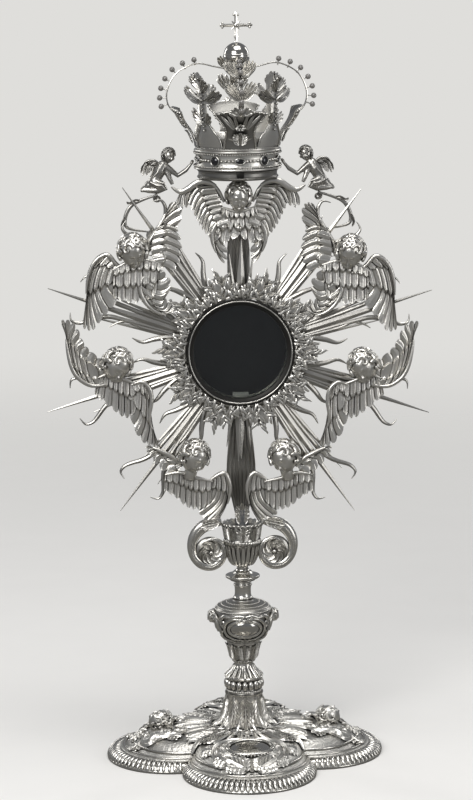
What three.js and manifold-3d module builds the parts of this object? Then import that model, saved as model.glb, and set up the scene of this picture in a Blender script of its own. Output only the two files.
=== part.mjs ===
// A baroque sunburst monstrance in silver: quatrefoil foot, turned stem, glazed case with a rear door,
// acanthus wreath, glory of rays, seven winged cherub heads, and a crown held by two putti.
// Millimetres. The foot stands on z = 0, the stem rises along +Z, and the window looks to -Y.

import * as THREE from "three";
import { mergeVertices } from "three/addons/utils/BufferGeometryUtils.js";
import Module from "manifold-3d";

const wasm = await Module();
wasm.setup();

// Clearance that every two neighbouring pieces keep.
const GAP = 0.3;

// Foot
const FOOT_REACH = 140; // stem axis to the outermost point of a lobe
const FOOT_NOTCH = 94; // stem axis to the notch between two lobes
const RIM_WIDTH = 19;
const RIM_HEIGHT = 10;
const SHELL_HEIGHT = 31; // table to the flat top that carries the stem
const SHELL_WALL = 1.8;
const FOOT_ORNAMENT_REACH = FOOT_REACH - 54; // stem axis to the middle of a lobe's ornament
const FOOT_HEAD_R = 10.5;
const FOOT_OVAL_LENGTH = 48;
const FOOT_OVAL_WIDTH = 34;
const FOOT_OVAL_THICKNESS = 4;
const FOOT_OVAL_TILT = 10; // degrees, leaning towards the viewer
const RELIEF_HEIGHT = 2.4; // shell to the top of its chased scrolls
const RELIEF_HALF_WIDTH = 2.6;
const COLLAR_R = 37.5; // middle of the low ring round the trumpet
const COLLAR_WIDTH = 7;

// Stem, from the foot upwards
const ROD_R = 4;
const TRUMPET_HEIGHT = 34;
const GADROON_HEIGHT = 15;
const GADROON_R = 20.5;
const BULB_HEIGHT = 38;
const KNOP_HEIGHT = 43;
const KNOP_R = 28.2;
const KNOP_HEAD_R = 6;
const NECK_HEIGHT = 15.3;
const DISC_HEIGHT = 15.3;
const DISC_R = 17.3;
const CUP_HEIGHT = 47.4;
const CUP_R = 20;
const CUP_SOCKET_DEPTH = 35.5;
const TANG_R = 7;
const NUT_HEIGHT = 8;
const NUT_R = 9;

// Glazed case
const SUN_ABOVE_CUP = 174.6; // cup rim to the centre of the case
const CASE_R = 52;
const CASE_WALL = 3;
const CASE_DEPTH = 17;
const CASE_FRONT_Y = -9;
const BEZEL_WIDTH = 6.9;
const BEZEL_DEPTH = 2.7;
const GLASS_THICKNESS = 2;
const CLAMP_WIDTH = 2.2;
const CLAMP_DEPTH = 1.6;
const DOOR_THICKNESS = 3;
const DOOR_LIP = 1; // metal left behind the door's glass
const DOOR_FRAME_WIDTH = 7;
const DOOR_REBATE = 2.3; // width of the step that holds the door's glass
const DOOR_GLASS_THICKNESS = 1.4;
const HINGE_PIN_R = 1.2;
const KNUCKLE_R = 2.7;
const KNUCKLE_HALF = 3; // half the height of the door's knuckle
const HINGE_HALF = 8; // half the height of the whole hinge
const LATCH_LENGTH = 14;
const LATCH_WIDTH = 6;
const LATCH_THICKNESS = 1.6;
const LATCH_SCREW_R = 1.2;
const LATCH_HEAD_HEIGHT = 1.4;
const RAIL_LENGTH = 16;
const RAIL_HEIGHT = 8;
const RAIL_DEPTH = 6;
const RAIL_SLOT = 2.4;

// Glory
const GLORY_TURN = -1.4; // degrees; the sun sits a little turned on its stem
const RAY_REACH = 201;
const SHORT_RAY_REACH = 112;
const RAY_HALF_THICKNESS = 2.2;
const RAY_HALF_WIDTH = 5.5;
const FLAME_UNIT = 1; // length of one unit in the flames' lines
const FLAME_HALF_THICKNESS = 1.8;
const TIP_HALF_WIDTH = 0.35;
const BUNDLES = 10;
const ROOT_WIDTH = 7;
const WREATH_REACH = 84;
const WREATH_RIM = 6;
const ORNAMENT_DEPTH = 4; // thickness of wings and leaves before their relief
const BACKBONE_DEPTH = 4; // thickness of the bars behind the rays

// Cherub heads, putti and scrolls
const FIGURE_UNIT = 1; // length of one unit in the figures' outlines
const CHERUB_HEAD_R = 13.5;
const CHERUB_HEAD_FORWARD = 9; // back of the wings to the centre of the head
const PUTTO_HEAD_R = 7;
const PUTTO_HAND_R = 2.2;
const SCROLL_WIDTH = 5;
const VOLUTE_DEPTH = 9;
const VOLUTE_BOLT_R = 1.2;
const VOLUTE_BALL_R = 1.7;
const VOLUTE_EDGE_X = 17.6; // stem axis to the near edge of a volute

// Crown
const CROWN_ABOVE_SUN = 173.3; // centre of the case to the underside of the drum
const DRUM_R = 40.2;
const DRUM_HEIGHT = 9.3;
const DRUM_WALL = 2.7;
const DRUM_FLOOR = 2.5;
const BAND_R = 41.7;
const BAND_HEIGHT = 19.4;
const BAND_WALL = 2.5;
const CROWN_WALL_HEIGHT = 13;
const PETAL_REACH = 61;
const PETAL_HEIGHT = 34; // top of the band to the rim of a petal
const PETAL_WIDTH = 26;
const LEAF_REACH = 52;
const LEAF_HEIGHT = 73; // top of the band to the tip of a leaf
const LEAF_WIDTH = 14;
const ARCH_WIDTH = 5;
const ARCH_THICKNESS = 2.4;
const ARCH_REACH = 68;
const ARCH_TOP = 84; // top of the band to the top of the arches
const PEARL_R = 2.8;
const PEARL_STAND = 4.4; // arch to the centre of a pearl
const HUB_R = 6;
const HUB_HEIGHT = 6;
const PEARLS = 7; // on each arch
const ORB_R = 12.6;
const CROSS_HEIGHT = 29.4;
const CROSS_SPAN = 32.6;
const CROSS_BAR = 2.4;
const POST_WIDTH = 22;
const STUD_R = 3;
const STUD_NUT_HEIGHT = 5;
const STUD_NUT_R = 6;

// Roundness of the turned pieces
const FINE = 32;
const MEDIUM = 16;
const COARSE = 10;
const LOBED = 32;

// Levels along the stem
const TRUMPET_Z = SHELL_HEIGHT + GAP;
const GADROON_Z = TRUMPET_Z + TRUMPET_HEIGHT + GAP;
const BULB_Z = GADROON_Z + GADROON_HEIGHT + GAP;
const KNOP_Z = BULB_Z + BULB_HEIGHT + GAP;
const NECK_Z = KNOP_Z + KNOP_HEIGHT + GAP;
const DISC_Z = NECK_Z + NECK_HEIGHT + GAP;
const CUP_Z = DISC_Z + DISC_HEIGHT + GAP;
const CUP_TOP = CUP_Z + CUP_HEIGHT;
const CUP_FLOOR = CUP_TOP - CUP_SOCKET_DEPTH;
const SUN_Z = CUP_TOP + SUN_ABOVE_CUP;
const CROWN_Z = SUN_Z + CROWN_ABOVE_SUN;
const BAND_Z = CROWN_Z + DRUM_HEIGHT + GAP;
const BAND_TOP = BAND_Z + BAND_HEIGHT;

// Levels through the case, from front to back
const CASE_BACK_Y = CASE_FRONT_Y + CASE_DEPTH;
const CASE_BORE = CASE_R - CASE_WALL;
const DOOR_Y = CASE_BACK_Y + GAP;
const DOOR_BACK_Y = DOOR_Y + DOOR_THICKNESS;
const DOOR_R = CASE_R - GAP;
const HINGE_X = DOOR_R + KNUCKLE_R + 1.5;
const HINGE_Y = DOOR_Y + DOOR_THICKNESS / 2;
const LATCH_X = -(DOOR_R + LATCH_WIDTH);

// Layers of the glory: rays in the middle, ornament in front, bars behind
const ORNAMENT_BACK_Y = -(RAY_HALF_THICKNESS + GAP);
const ORNAMENT_FRONT_Y = ORNAMENT_BACK_Y - ORNAMENT_DEPTH;
const BACKBONE_FRONT_Y = RAY_HALF_THICKNESS + GAP;
const BACKBONE_BACK_Y = BACKBONE_FRONT_Y + BACKBONE_DEPTH;
const BORE_R = ROD_R + GAP;

const silver = () => new THREE.MeshStandardMaterial({ color: 0xc2c0bb, roughness: 0.3, metalness: 1 });
const steel = () => new THREE.MeshStandardMaterial({ color: 0x77787a, roughness: 0.45, metalness: 1 });
const glass = () =>
  new THREE.MeshStandardMaterial({ color: 0x1c2022, roughness: 0.05, transparent: true, opacity: 0.4 });

// A closed geometry as a solid with its faces outward.
function solid(geometry) {
  const bare = geometry.clone();
  bare.deleteAttribute("normal");
  bare.deleteAttribute("uv");
  const merged = mergeVertices(bare, 1e-4);
  const vertProperties = new Float32Array(merged.attributes.position.array);
  const triVerts = new Uint32Array(merged.index.array);
  const made = new wasm.Manifold(new wasm.Mesh({ numProp: 3, vertProperties, triVerts }));
  if (made.volume() > 0) return made;
  for (let i = 0; i < triVerts.length; i += 3) {
    [triVerts[i + 1], triVerts[i + 2]] = [triVerts[i + 2], triVerts[i + 1]];
  }
  return new wasm.Manifold(new wasm.Mesh({ numProp: 3, vertProperties, triVerts }));
}

function join(...pieces) {
  return pieces.reduce((whole, piece) => whole.add(piece));
}

// A solid, or a closed geometry, as a named mesh.
function piece(name, shape, material) {
  const body = shape.isBufferGeometry ? solid(shape) : shape;
  const { vertProperties, triVerts } = body.getMesh();
  const geometry = new THREE.BufferGeometry();
  geometry.setAttribute("position", new THREE.BufferAttribute(vertProperties, 3));
  geometry.setIndex(new THREE.BufferAttribute(triVerts, 1));
  geometry.computeVertexNormals();
  const mesh = new THREE.Mesh(geometry, material);
  mesh.name = name;
  return mesh;
}

// A box between two corners.
function block(low, high) {
  const size = high.map((value, i) => value - low[i]);
  const middle = high.map((value, i) => (value + low[i]) / 2);
  return new THREE.BoxGeometry(...size).translate(...middle);
}

// A ring or disc turned about +Z from a closed profile of [radius, height].
function turned(profile, segments) {
  const points = [...profile, profile[0]].map(([r, z]) => new THREE.Vector2(r, z));
  return new THREE.LatheGeometry(points, segments).rotateX(Math.PI / 2);
}

// A ring turned about the window's axis from a closed profile of [radius, y].
function ringAboutY(profile, segments) {
  const points = [...profile, profile[0]].map(([r, y]) => new THREE.Vector2(r, y));
  return new THREE.LatheGeometry(points, segments);
}

// A plate with an outline in x and z, between two depths.
function plate(outline, frontY, backY) {
  const shape = new THREE.Shape(outline.map(([x, z]) => new THREE.Vector2(x, z)));
  const geometry = new THREE.ExtrudeGeometry(shape, { depth: backY - frontY, bevelEnabled: false });
  return geometry.rotateX(Math.PI / 2).translate(0, backY, 0);
}

// A round bar between two points.
function bar(from, to, radius, sides) {
  const start = new THREE.Vector3(...from);
  const along = new THREE.Vector3(...to).sub(start);
  const turn = new THREE.Quaternion().setFromUnitVectors(
    new THREE.Vector3(0, 1, 0),
    along.clone().normalize(),
  );
  return new THREE.CylinderGeometry(radius, radius, along.length(), sides)
    .applyQuaternion(turn)
    .translate(...start.addScaledVector(along, 0.5).toArray());
}

// A six-sided nut that stands on its base point, with a round hole.
function hexNut([x, y, z], height, radius, holeR) {
  const hex = solid(bar([x, y, z], [x, y, z + height], radius, 6));
  return hex.subtract(solid(bar([x, y, z - 1], [x, y, z + height + 1], holeR, COARSE)));
}

function ball(centre, radius, around, down) {
  return new THREE.SphereGeometry(radius, around, down).rotateX(Math.PI / 2).translate(...centre);
}

// Stem profile from [radius, share of the height], bored for the rod.
function stemPiece(baseZ, height, shares) {
  const outside = shares.map(([r, share]) => [r, baseZ + share * height]);
  return turned([[BORE_R, baseZ], ...outside, [BORE_R, baseZ + height]], MEDIUM);
}

// The outline is made of four round lobes; these are one lobe's centre and radius.
const LOBE_CENTRE =
  (FOOT_REACH ** 2 - FOOT_NOTCH ** 2) / (2 * FOOT_REACH - Math.SQRT2 * FOOT_NOTCH);
const LOBE_R = FOOT_REACH - LOBE_CENTRE;

// How far the foot reaches in a direction, as a share of its full reach.
function quatrefoil(angle) {
  const quarter = Math.PI / 2;
  const offAxis = angle - quarter * Math.round(angle / quarter);
  const side = LOBE_CENTRE * Math.sin(offAxis);
  return (LOBE_CENTRE * Math.cos(offAxis) + Math.sqrt(LOBE_R ** 2 - side ** 2)) / FOOT_REACH;
}

// Draws a round ring in to the four lobes, leaving what is nearer than the core as it is.
function lobed(geometry, core) {
  const position = geometry.getAttribute("position");
  for (let i = 0; i < position.count; i += 1) {
    const x = position.getX(i);
    const y = position.getY(i);
    const r = Math.hypot(x, y);
    if (r <= core) continue;
    const edge = FOOT_REACH * quatrefoil(Math.atan2(y, x));
    const drawn = core + ((r - core) * (edge - core)) / (FOOT_REACH - core);
    position.setXY(i, (x / r) * drawn, (y / r) * drawn);
  }
  return geometry;
}

// The shell's upper surface on a lobe's middle line, as [radius, height].
const RIM_INNER = FOOT_REACH - RIM_WIDTH;
const SHELL_CORE = ROD_R + 3; // round the rod's hole the shell stays round
const SHOULDER_REACH = 95; // where the lobes start to fall to the rim
const shellLine = [
  [BORE_R, SHELL_HEIGHT],
  [36, SHELL_HEIGHT],
  [60, SHELL_HEIGHT - 2],
  [SHOULDER_REACH, SHELL_HEIGHT - 4],
  [RIM_INNER - 9, SHELL_HEIGHT - 11],
  [RIM_INNER - 3, RIM_HEIGHT + 4],
  [RIM_INNER + 6, RIM_HEIGHT + 2],
];

function shellHeight(radius) {
  const next = shellLine.findIndex(([r]) => r >= radius);
  const [r0, z0] = shellLine[next - 1];
  const [r1, z1] = shellLine[next];
  return z0 + ((z1 - z0) * (radius - r0)) / (r1 - r0);
}

function footRim() {
  const outline = [
    [RIM_INNER, 0],
    [FOOT_REACH, 0],
    [FOOT_REACH, 3],
    [FOOT_REACH - 3, 5],
    [FOOT_REACH - 5, RIM_HEIGHT - 1.5],
    [FOOT_REACH - 11, RIM_HEIGHT],
    [RIM_INNER, RIM_HEIGHT],
  ];
  return piece("foot_rim", lobed(turned(outline, LOBED), SHELL_CORE), silver());
}

// Height of the shell's upper surface over a place on the table.
function shellTop(x, y) {
  const edge = FOOT_REACH * quatrefoil(Math.atan2(y, x));
  const share = (Math.hypot(x, y) - SHELL_CORE) / (edge - SHELL_CORE);
  return shellHeight(SHELL_CORE + share * (FOOT_REACH - SHELL_CORE));
}

// Lines of the chased scrolls beside an oval and beside a head. The origin is the middle of the lobe's
// ornament, +Y points to the stem, and the other half is mirrored.
const OVAL_SCROLL = [[-5, 24], [-16, 25], [-27, 19], [-34, 8], [-35, -4], [-29, -14], [-19, -19]];
const HEAD_SCROLL = [[-6, 24], [-18, 24], [-28, 17], [-31, 6], [-29, -5], [-32, -12], [-24, -19], [-13, -18]];
const SCROLL_STEPS = 8;

// Leaf between two lobes, as [distance from the stem, half its width].
const NOTCH_LEAF = [
  [FOOT_NOTCH - 48, 2.5],
  [FOOT_NOTCH - 41, 7.5],
  [FOOT_NOTCH - 32, 9],
  [FOOT_NOTCH - 24, 6],
  [FOOT_NOTCH - 18, 1.5],
];

// A raised strip on the shell along points of {x, y, half}, where half is half its width there.
function strip(points) {
  const root = -2 * SHELL_WALL;
  const section = [[1, root], [-1, root], [-0.55, RELIEF_HEIGHT], [0.55, RELIEF_HEIGHT]];
  const corners = section.length;
  const vertices = [];
  const index = [];
  points.forEach(({ x, y, half }, i) => {
    const before = points[Math.max(i - 1, 0)];
    const after = points[Math.min(i + 1, points.length - 1)];
    const span = Math.hypot(after.x - before.x, after.y - before.y);
    for (const [share, rise] of section) {
      const cornerX = x + (share * half * (before.y - after.y)) / span;
      const cornerY = y + (share * half * (after.x - before.x)) / span;
      vertices.push(cornerX, cornerY, shellTop(cornerX, cornerY) + rise);
    }
  });
  for (let a = 0; a < (points.length - 1) * corners; a += 1) {
    const b = a - (a % corners) + ((a + 1) % corners);
    index.push(a, b, b + corners, a, b + corners, a + corners);
  }
  const last = (points.length - 1) * corners;
  index.push(0, 3, 2, 0, 2, 1, last, last + 1, last + 2, last, last + 2, last + 3);
  const geometry = new THREE.BufferGeometry();
  geometry.setAttribute("position", new THREE.Float32BufferAttribute(vertices, 3));
  return solid(geometry.setIndex(index));
}

// One half of the scrolls on a lobe; the strip is thinnest at its two ends.
function scrollStrip(line, side, lobeTurn) {
  const upright = new THREE.Vector3(0, 0, 1);
  const places = line.map(([x, y]) => new THREE.Vector3(side * x, y - FOOT_ORNAMENT_REACH, 0));
  const points = new THREE.CatmullRomCurve3(places).getPoints(SCROLL_STEPS);
  return strip(
    points.map((point, i) => {
      const { x, y } = point.applyAxisAngle(upright, lobeTurn);
      return { x, y, half: RELIEF_HALF_WIDTH * (0.5 + 0.5 * Math.sin((Math.PI * i) / SCROLL_STEPS)) };
    }),
  );
}

function footRelief() {
  const half = COLLAR_WIDTH / 2;
  const collar = turned(
    [
      [COLLAR_R - half, SHELL_HEIGHT - SHELL_WALL],
      [COLLAR_R - 0.8 * half, SHELL_HEIGHT + 1.7],
      [COLLAR_R, SHELL_HEIGHT + 1.5],
      [COLLAR_R + 0.8 * half, SHELL_HEIGHT + 0.9],
      [COLLAR_R + half, SHELL_HEIGHT - SHELL_WALL],
    ],
    LOBED,
  );
  const pieces = [solid(collar)];
  for (let lobe = 0; lobe < 4; lobe += 1) {
    const turn = (lobe * Math.PI) / 2;
    const line = lobe % 2 === 0 ? OVAL_SCROLL : HEAD_SCROLL;
    pieces.push(scrollStrip(line, 1, turn), scrollStrip(line, -1, turn));
    const [c, s] = [Math.cos(turn + Math.PI / 4), Math.sin(turn + Math.PI / 4)];
    pieces.push(strip(NOTCH_LEAF.map(([reach, width]) => ({ x: reach * c, y: reach * s, half: width }))));
  }
  return pieces;
}

// A thin shell with chased scrolls and leaves on it; the hollow keeps their roots out of the inside.
function footShell() {
  const lip = [
    [RIM_INNER + 6, RIM_HEIGHT + GAP],
    [RIM_INNER + 1, RIM_HEIGHT + GAP],
  ];
  const under = shellLine
    .slice(0, -1)
    .reverse()
    .map(([r, z]) => [r === BORE_R ? r : r - SHELL_WALL / 2, z - SHELL_WALL]);
  const hollowLine = [...under, [BORE_R, 0], [under[0][0], 0]];
  const sheet = solid(lobed(turned([...shellLine, ...lip, ...under], LOBED), SHELL_CORE));
  const hollow = solid(lobed(turned(hollowLine, LOBED), SHELL_CORE));
  return piece("foot_shell", join(sheet, ...footRelief()).subtract(hollow), silver());
}

// A winged head that lies on a side lobe of the foot.
function footCherub(name, side) {
  const x = side * FOOT_ORNAMENT_REACH;
  const seat = shellHeight(FOOT_ORNAMENT_REACH) + 2 * GAP;
  const head = solid(ball([x, 0, seat + FOOT_HEAD_R - 1], FOOT_HEAD_R, 10, 6));
  const wing = (turn) =>
    solid(
      new THREE.SphereGeometry(1, 8, 5)
        .scale(7, 15, 4)
        .rotateZ(side * turn * 0.5)
        .translate(x + side * 4, turn * 12, seat + 1),
    );
  const below = solid(block([x - 40, -60, seat - 20], [x + 40, 60, seat]));
  return piece(name, join(head, wing(1), wing(-1)).subtract(below), silver());
}

function footCartouche(name, side) {
  const tilt = THREE.MathUtils.degToRad(FOOT_OVAL_TILT);
  const rise = (SHOULDER_REACH - FOOT_ORNAMENT_REACH) * Math.tan(tilt);
  const seat = shellHeight(SHOULDER_REACH) + 2 * GAP + rise + FOOT_OVAL_THICKNESS / 2;
  const oval = new THREE.CylinderGeometry(1, 1, FOOT_OVAL_THICKNESS, MEDIUM)
    .rotateX(Math.PI / 2)
    .scale(FOOT_OVAL_LENGTH / 2, FOOT_OVAL_WIDTH / 2, 1)
    .rotateX(-side * tilt)
    .translate(0, side * FOOT_ORNAMENT_REACH, seat);
  return piece(name, oval, silver());
}

function stem() {
  const trumpet = stemPiece(TRUMPET_Z, TRUMPET_HEIGHT, [
    [31, 0],
    [28, 0.1],
    [23, 0.35],
    [21, 0.6],
    [19.5, 1],
  ]);
  const gadroons = stemPiece(GADROON_Z, GADROON_HEIGHT, [
    [GADROON_R - 3.5, 0],
    [GADROON_R - 0.5, 0.2],
    [GADROON_R, 0.5],
    [GADROON_R - 0.5, 0.75],
    [GADROON_R - 3.5, 1],
  ]);
  const bulb = stemPiece(BULB_Z, BULB_HEIGHT, [
    [19.5, 0],
    [17, 0.08],
    [10.8, 0.25],
    [9.6, 0.4],
    [11, 0.45],
    [16.5, 0.62],
    [17.5, 0.85],
    [16, 1],
  ]);
  const knop = stemPiece(KNOP_Z, KNOP_HEIGHT, [
    [17.5, 0],
    [21, 0.12],
    [KNOP_R - 1, 0.5],
    [KNOP_R, 0.7],
    [KNOP_R - 4.5, 0.86],
    [KNOP_R - 14, 0.95],
    [9, 1],
  ]);
  const neck = stemPiece(NECK_Z, NECK_HEIGHT, [
    [8.6, 0],
    [7.7, 0.4],
    [8.6, 1],
  ]);
  const disc = stemPiece(DISC_Z, DISC_HEIGHT, [
    [8.4, 0],
    [9.5, 0.2],
    [DISC_R, 0.42],
    [DISC_R, 0.58],
    [8.5, 0.85],
    [6.5, 1],
  ]);
  const headZ = KNOP_Z + 0.6 * KNOP_HEIGHT;
  const heads = [-1, 1].map((side) => solid(ball([side * KNOP_R, 0, headZ], KNOP_HEAD_R, 8, 6)));
  const ovals = [-1, 1].map((side) =>
    solid(
      new THREE.SphereGeometry(1, COARSE, 6)
        .scale(18.5, 4, 10.5)
        .translate(0, side * (KNOP_R - 3), KNOP_Z + 0.48 * KNOP_HEIGHT),
    ),
  );
  return [
    piece("acanthus_trumpet", trumpet, silver()),
    piece("gadrooned_ring", gadroons, silver()),
    piece("acanthus_bulb", bulb, silver()),
    piece("knop", join(solid(knop), ...heads, ...ovals), silver()),
    piece("upper_neck", neck, silver()),
    piece("stem_disc", disc, silver()),
  ];
}

// Cup that holds the sun's tang; its outside below the beaded band is a straight cone.
const CUP_CONE_LOW = [TANG_R + 0.5, CUP_Z + 0.17 * CUP_HEIGHT];
const CUP_CONE_HIGH = [CUP_R - 3.4, CUP_Z + 0.53 * CUP_HEIGHT];
const VOLUTE_BOLT_Z = CUP_Z + 0.38 * CUP_HEIGHT;

function cupConeRadius(z) {
  const [r0, z0] = CUP_CONE_LOW;
  const [r1, z1] = CUP_CONE_HIGH;
  return r0 + ((r1 - r0) * (z - z0)) / (z1 - z0);
}

function socketCup() {
  const outline = [
    [BORE_R, CUP_Z],
    [TANG_R - 1.5, CUP_Z],
    CUP_CONE_LOW,
    CUP_CONE_HIGH,
    [CUP_R - 2.6, CUP_Z + 0.55 * CUP_HEIGHT],
    [CUP_R, CUP_Z + 0.84 * CUP_HEIGHT],
    [CUP_R - 0.8, CUP_TOP],
    [CUP_R - 2.3, CUP_TOP],
    [CUP_R - 4, CUP_TOP - 4],
    [TANG_R + GAP, CUP_TOP - 6],
    [TANG_R + GAP, CUP_FLOOR],
    [BORE_R, CUP_FLOOR],
  ];
  return piece("socket_cup", turned(outline, MEDIUM), silver());
}

const ROD_TOP = CUP_FLOOR + 16;

function tieRod() {
  const nutTop = SHELL_HEIGHT - SHELL_WALL - GAP;
  const flange = nutTop - NUT_HEIGHT / 3;
  const rod = bar([0, 0, nutTop - NUT_HEIGHT - 2], [0, 0, ROD_TOP], ROD_R, COARSE);
  const holeR = BORE_R + GAP;
  const washer = turned([[holeR, flange], [NUT_R + 5, flange], [NUT_R + 5, nutTop], [holeR, nutTop]], COARSE);
  const nut = hexNut([0, 0, nutTop - NUT_HEIGHT], NUT_HEIGHT, NUT_R, holeR);
  return [piece("tie_rod", rod, steel()), piece("tie_rod_nut", join(solid(washer), nut), steel())];
}

// Ridged blade from the cup to the case, with a round tang that drops into the socket.
function sunStem() {
  const z = (aboveCup) => CUP_TOP + aboveCup;
  const top = SUN_Z - CASE_R - GAP;
  const half = [
    [5.7, z(-3)],
    [5.7, z(4)],
    [10, z(26)],
    [13.5, z(46)],
    [13.5, z(70)],
    [10, top - 8],
  ];
  const outline = [...half, ...half.map(([x, level]) => [-x, level]).reverse()];
  const blade = plate(outline, BACKBONE_FRONT_Y, BACKBONE_BACK_Y);
  const neck = plate(
    [[-8, top - 14], [8, top - 14], [8, top - 1.5], [-8, top - 1.5]],
    BACKBONE_FRONT_Y,
    BACKBONE_BACK_Y,
  );
  const tang = bar([0, 0, CUP_FLOOR + GAP], [0, 0, z(14)], TANG_R, COARSE);
  const bore = bar([0, 0, CUP_FLOOR - 5], [0, 0, ROD_TOP + GAP], BORE_R, COARSE);
  return piece("sun_stem", join(solid(blade), solid(neck), solid(tang)).subtract(solid(bore)), silver());
}

function glazedCase() {
  const bezelR = CASE_R + 1.8;
  const tab = (low, high) => solid(block(low, high));
  const upright = (from, to, r) => solid(bar([HINGE_X, HINGE_Y, from], [HINGE_X, HINGE_Y, to], r, COARSE));
  const pinHole = upright(-HINGE_HALF - 1, HINGE_HALF + 1, HINGE_PIN_R + GAP);
  const drum = solid(
    ringAboutY(
      [[CASE_BORE, CASE_FRONT_Y], [CASE_R, CASE_FRONT_Y], [CASE_R, CASE_BACK_Y], [CASE_BORE, CASE_BACK_Y]],
      FINE,
    ),
  );
  const tabBack = CASE_BACK_Y - GAP / 3;
  const tabs = [-1, 1].map((side) => {
    const ends = [side * (KNUCKLE_HALF + GAP), side * HINGE_HALF].sort((a, b) => a - b);
    return join(
      tab([CASE_R - 1.5, tabBack - 3.4, ends[0]], [HINGE_X + 1, tabBack, ends[1]]),
      upright(ends[0], ends[1], KNUCKLE_R),
    );
  });
  const lug = join(
    tab([LATCH_X - 3, tabBack - 4, -4], [-CASE_R + 1.5, tabBack, 4]),
    solid(bar([LATCH_X, tabBack - 1, 0], [LATCH_X, DOOR_BACK_Y, 0], LATCH_WIDTH / 2, COARSE)),
  );
  const screwHole = solid(
    bar([LATCH_X, CASE_BACK_Y - 2, 0], [LATCH_X, DOOR_BACK_Y + 5, 0], LATCH_SCREW_R + GAP, COARSE),
  );
  const bezel = ringAboutY(
    [
      [bezelR - BEZEL_WIDTH, CASE_FRONT_Y - GAP - 0.6],
      [bezelR - BEZEL_WIDTH + 1.5, CASE_FRONT_Y - GAP - BEZEL_DEPTH],
      [bezelR - 1.5, CASE_FRONT_Y - GAP - BEZEL_DEPTH],
      [bezelR, CASE_FRONT_Y - GAP - 1],
      [bezelR, CASE_FRONT_Y - GAP],
      [bezelR - BEZEL_WIDTH, CASE_FRONT_Y - GAP],
    ],
    FINE,
  );
  const glassFront = CASE_FRONT_Y + GAP / 3;
  const frontGlass = bar([0, glassFront, 0], [0, glassFront + GLASS_THICKNESS, 0], CASE_BORE - GAP, FINE);
  const clampFront = glassFront + GLASS_THICKNESS + GAP;
  const clampR = CASE_BORE - GAP;
  const clamp = ringAboutY(
    [
      [clampR - CLAMP_WIDTH, clampFront],
      [clampR, clampFront],
      [clampR, clampFront + CLAMP_DEPTH],
      [clampR - CLAMP_WIDTH, clampFront + CLAMP_DEPTH],
    ],
    FINE,
  );
  const railBody = solid(
    block(
      [-RAIL_LENGTH / 2, -RAIL_DEPTH / 2, -CASE_BORE],
      [RAIL_LENGTH / 2, RAIL_DEPTH / 2, -CASE_BORE + RAIL_HEIGHT],
    ),
  );
  const railSlot = solid(
    block(
      [-RAIL_LENGTH, -RAIL_SLOT / 2, -CASE_BORE + RAIL_HEIGHT / 3],
      [RAIL_LENGTH, RAIL_SLOT / 2, -CASE_BORE + RAIL_HEIGHT + 1],
    ),
  );
  const caseHollow = solid(bar([0, -RAIL_DEPTH, 0], [0, RAIL_DEPTH, 0], CASE_BORE - GAP, FINE));
  return [
    piece("case_ring", join(drum, ...tabs, lug).subtract(pinHole).subtract(screwHole), silver()),
    piece("front_bezel", bezel, silver()),
    piece("front_glass", frontGlass, glass()),
    piece("glass_clamp_ring", clamp, silver()),
    piece("lunette_rail", railBody.subtract(railSlot).intersect(caseHollow), silver()),
    piece("hinge_pin", upright(-HINGE_HALF, HINGE_HALF, HINGE_PIN_R), silver()),
  ];
}

// Door at the back of the case, closed, and the turn-button that holds it, turned aside.
function rearDoor() {
  const aperture = DOOR_R - DOOR_FRAME_WIDTH;
  const rebateY = DOOR_BACK_Y - DOOR_LIP;
  const frame = solid(
    ringAboutY(
      [
        [aperture + DOOR_REBATE, DOOR_Y],
        [DOOR_R, DOOR_Y],
        [DOOR_R, DOOR_BACK_Y],
        [aperture, DOOR_BACK_Y],
        [aperture, rebateY],
        [aperture + DOOR_REBATE, rebateY],
      ],
      FINE,
    ),
  );
  const strap = solid(
    block([DOOR_R - 1.5, DOOR_Y, -KNUCKLE_HALF], [HINGE_X, DOOR_BACK_Y, KNUCKLE_HALF]),
  );
  const barrel = (half, r) => solid(bar([HINGE_X, HINGE_Y, -half], [HINGE_X, HINGE_Y, half], r, COARSE));
  const pinHole = barrel(HINGE_HALF, HINGE_PIN_R + GAP);
  const glassR = aperture + DOOR_REBATE - GAP;
  const glassBack = rebateY - GAP;
  const pane = bar([0, glassBack - DOOR_GLASS_THICKNESS, 0], [0, glassBack, 0], glassR, FINE);
  return [
    piece("rear_door_frame", join(frame, strap, barrel(KNUCKLE_HALF, KNUCKLE_R)).subtract(pinHole), silver()),
    piece("rear_glass", pane, glass()),
  ];
}

function doorLatch() {
  const front = DOOR_BACK_Y + GAP;
  const back = front + LATCH_THICKNESS;
  const half = LATCH_WIDTH / 2;
  const arm = LATCH_LENGTH - half;
  const outline = [
    [LATCH_X - half, -half],
    [LATCH_X + half, -half],
    [LATCH_X + half * 0.6, arm],
    [LATCH_X - half * 0.6, arm],
  ];
  const along = (from, to, r) => solid(bar([LATCH_X, from, 0], [LATCH_X, to, 0], r, COARSE));
  const screwHole = along(front - 1, back + 1, LATCH_SCREW_R + GAP);
  const head = along(back + GAP, back + GAP + LATCH_HEAD_HEIGHT, 2 * LATCH_SCREW_R);
  const shank = along(CASE_BACK_Y - 1, back + 1, LATCH_SCREW_R);
  return [
    piece("door_latch", solid(plate(outline, front, back)).subtract(screwHole), silver()),
    piece("latch_screw", join(head, shank), silver()),
  ];
}

// Lengths and leans of the rays in one bundle, in the middle line's own frame: +X outwards.
const ROOT_START = CASE_R + GAP;
const SIDE_RAYS = [
  { lean: 5.2, reach: 158 },
  { lean: -5.2, reach: 146 },
];

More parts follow.
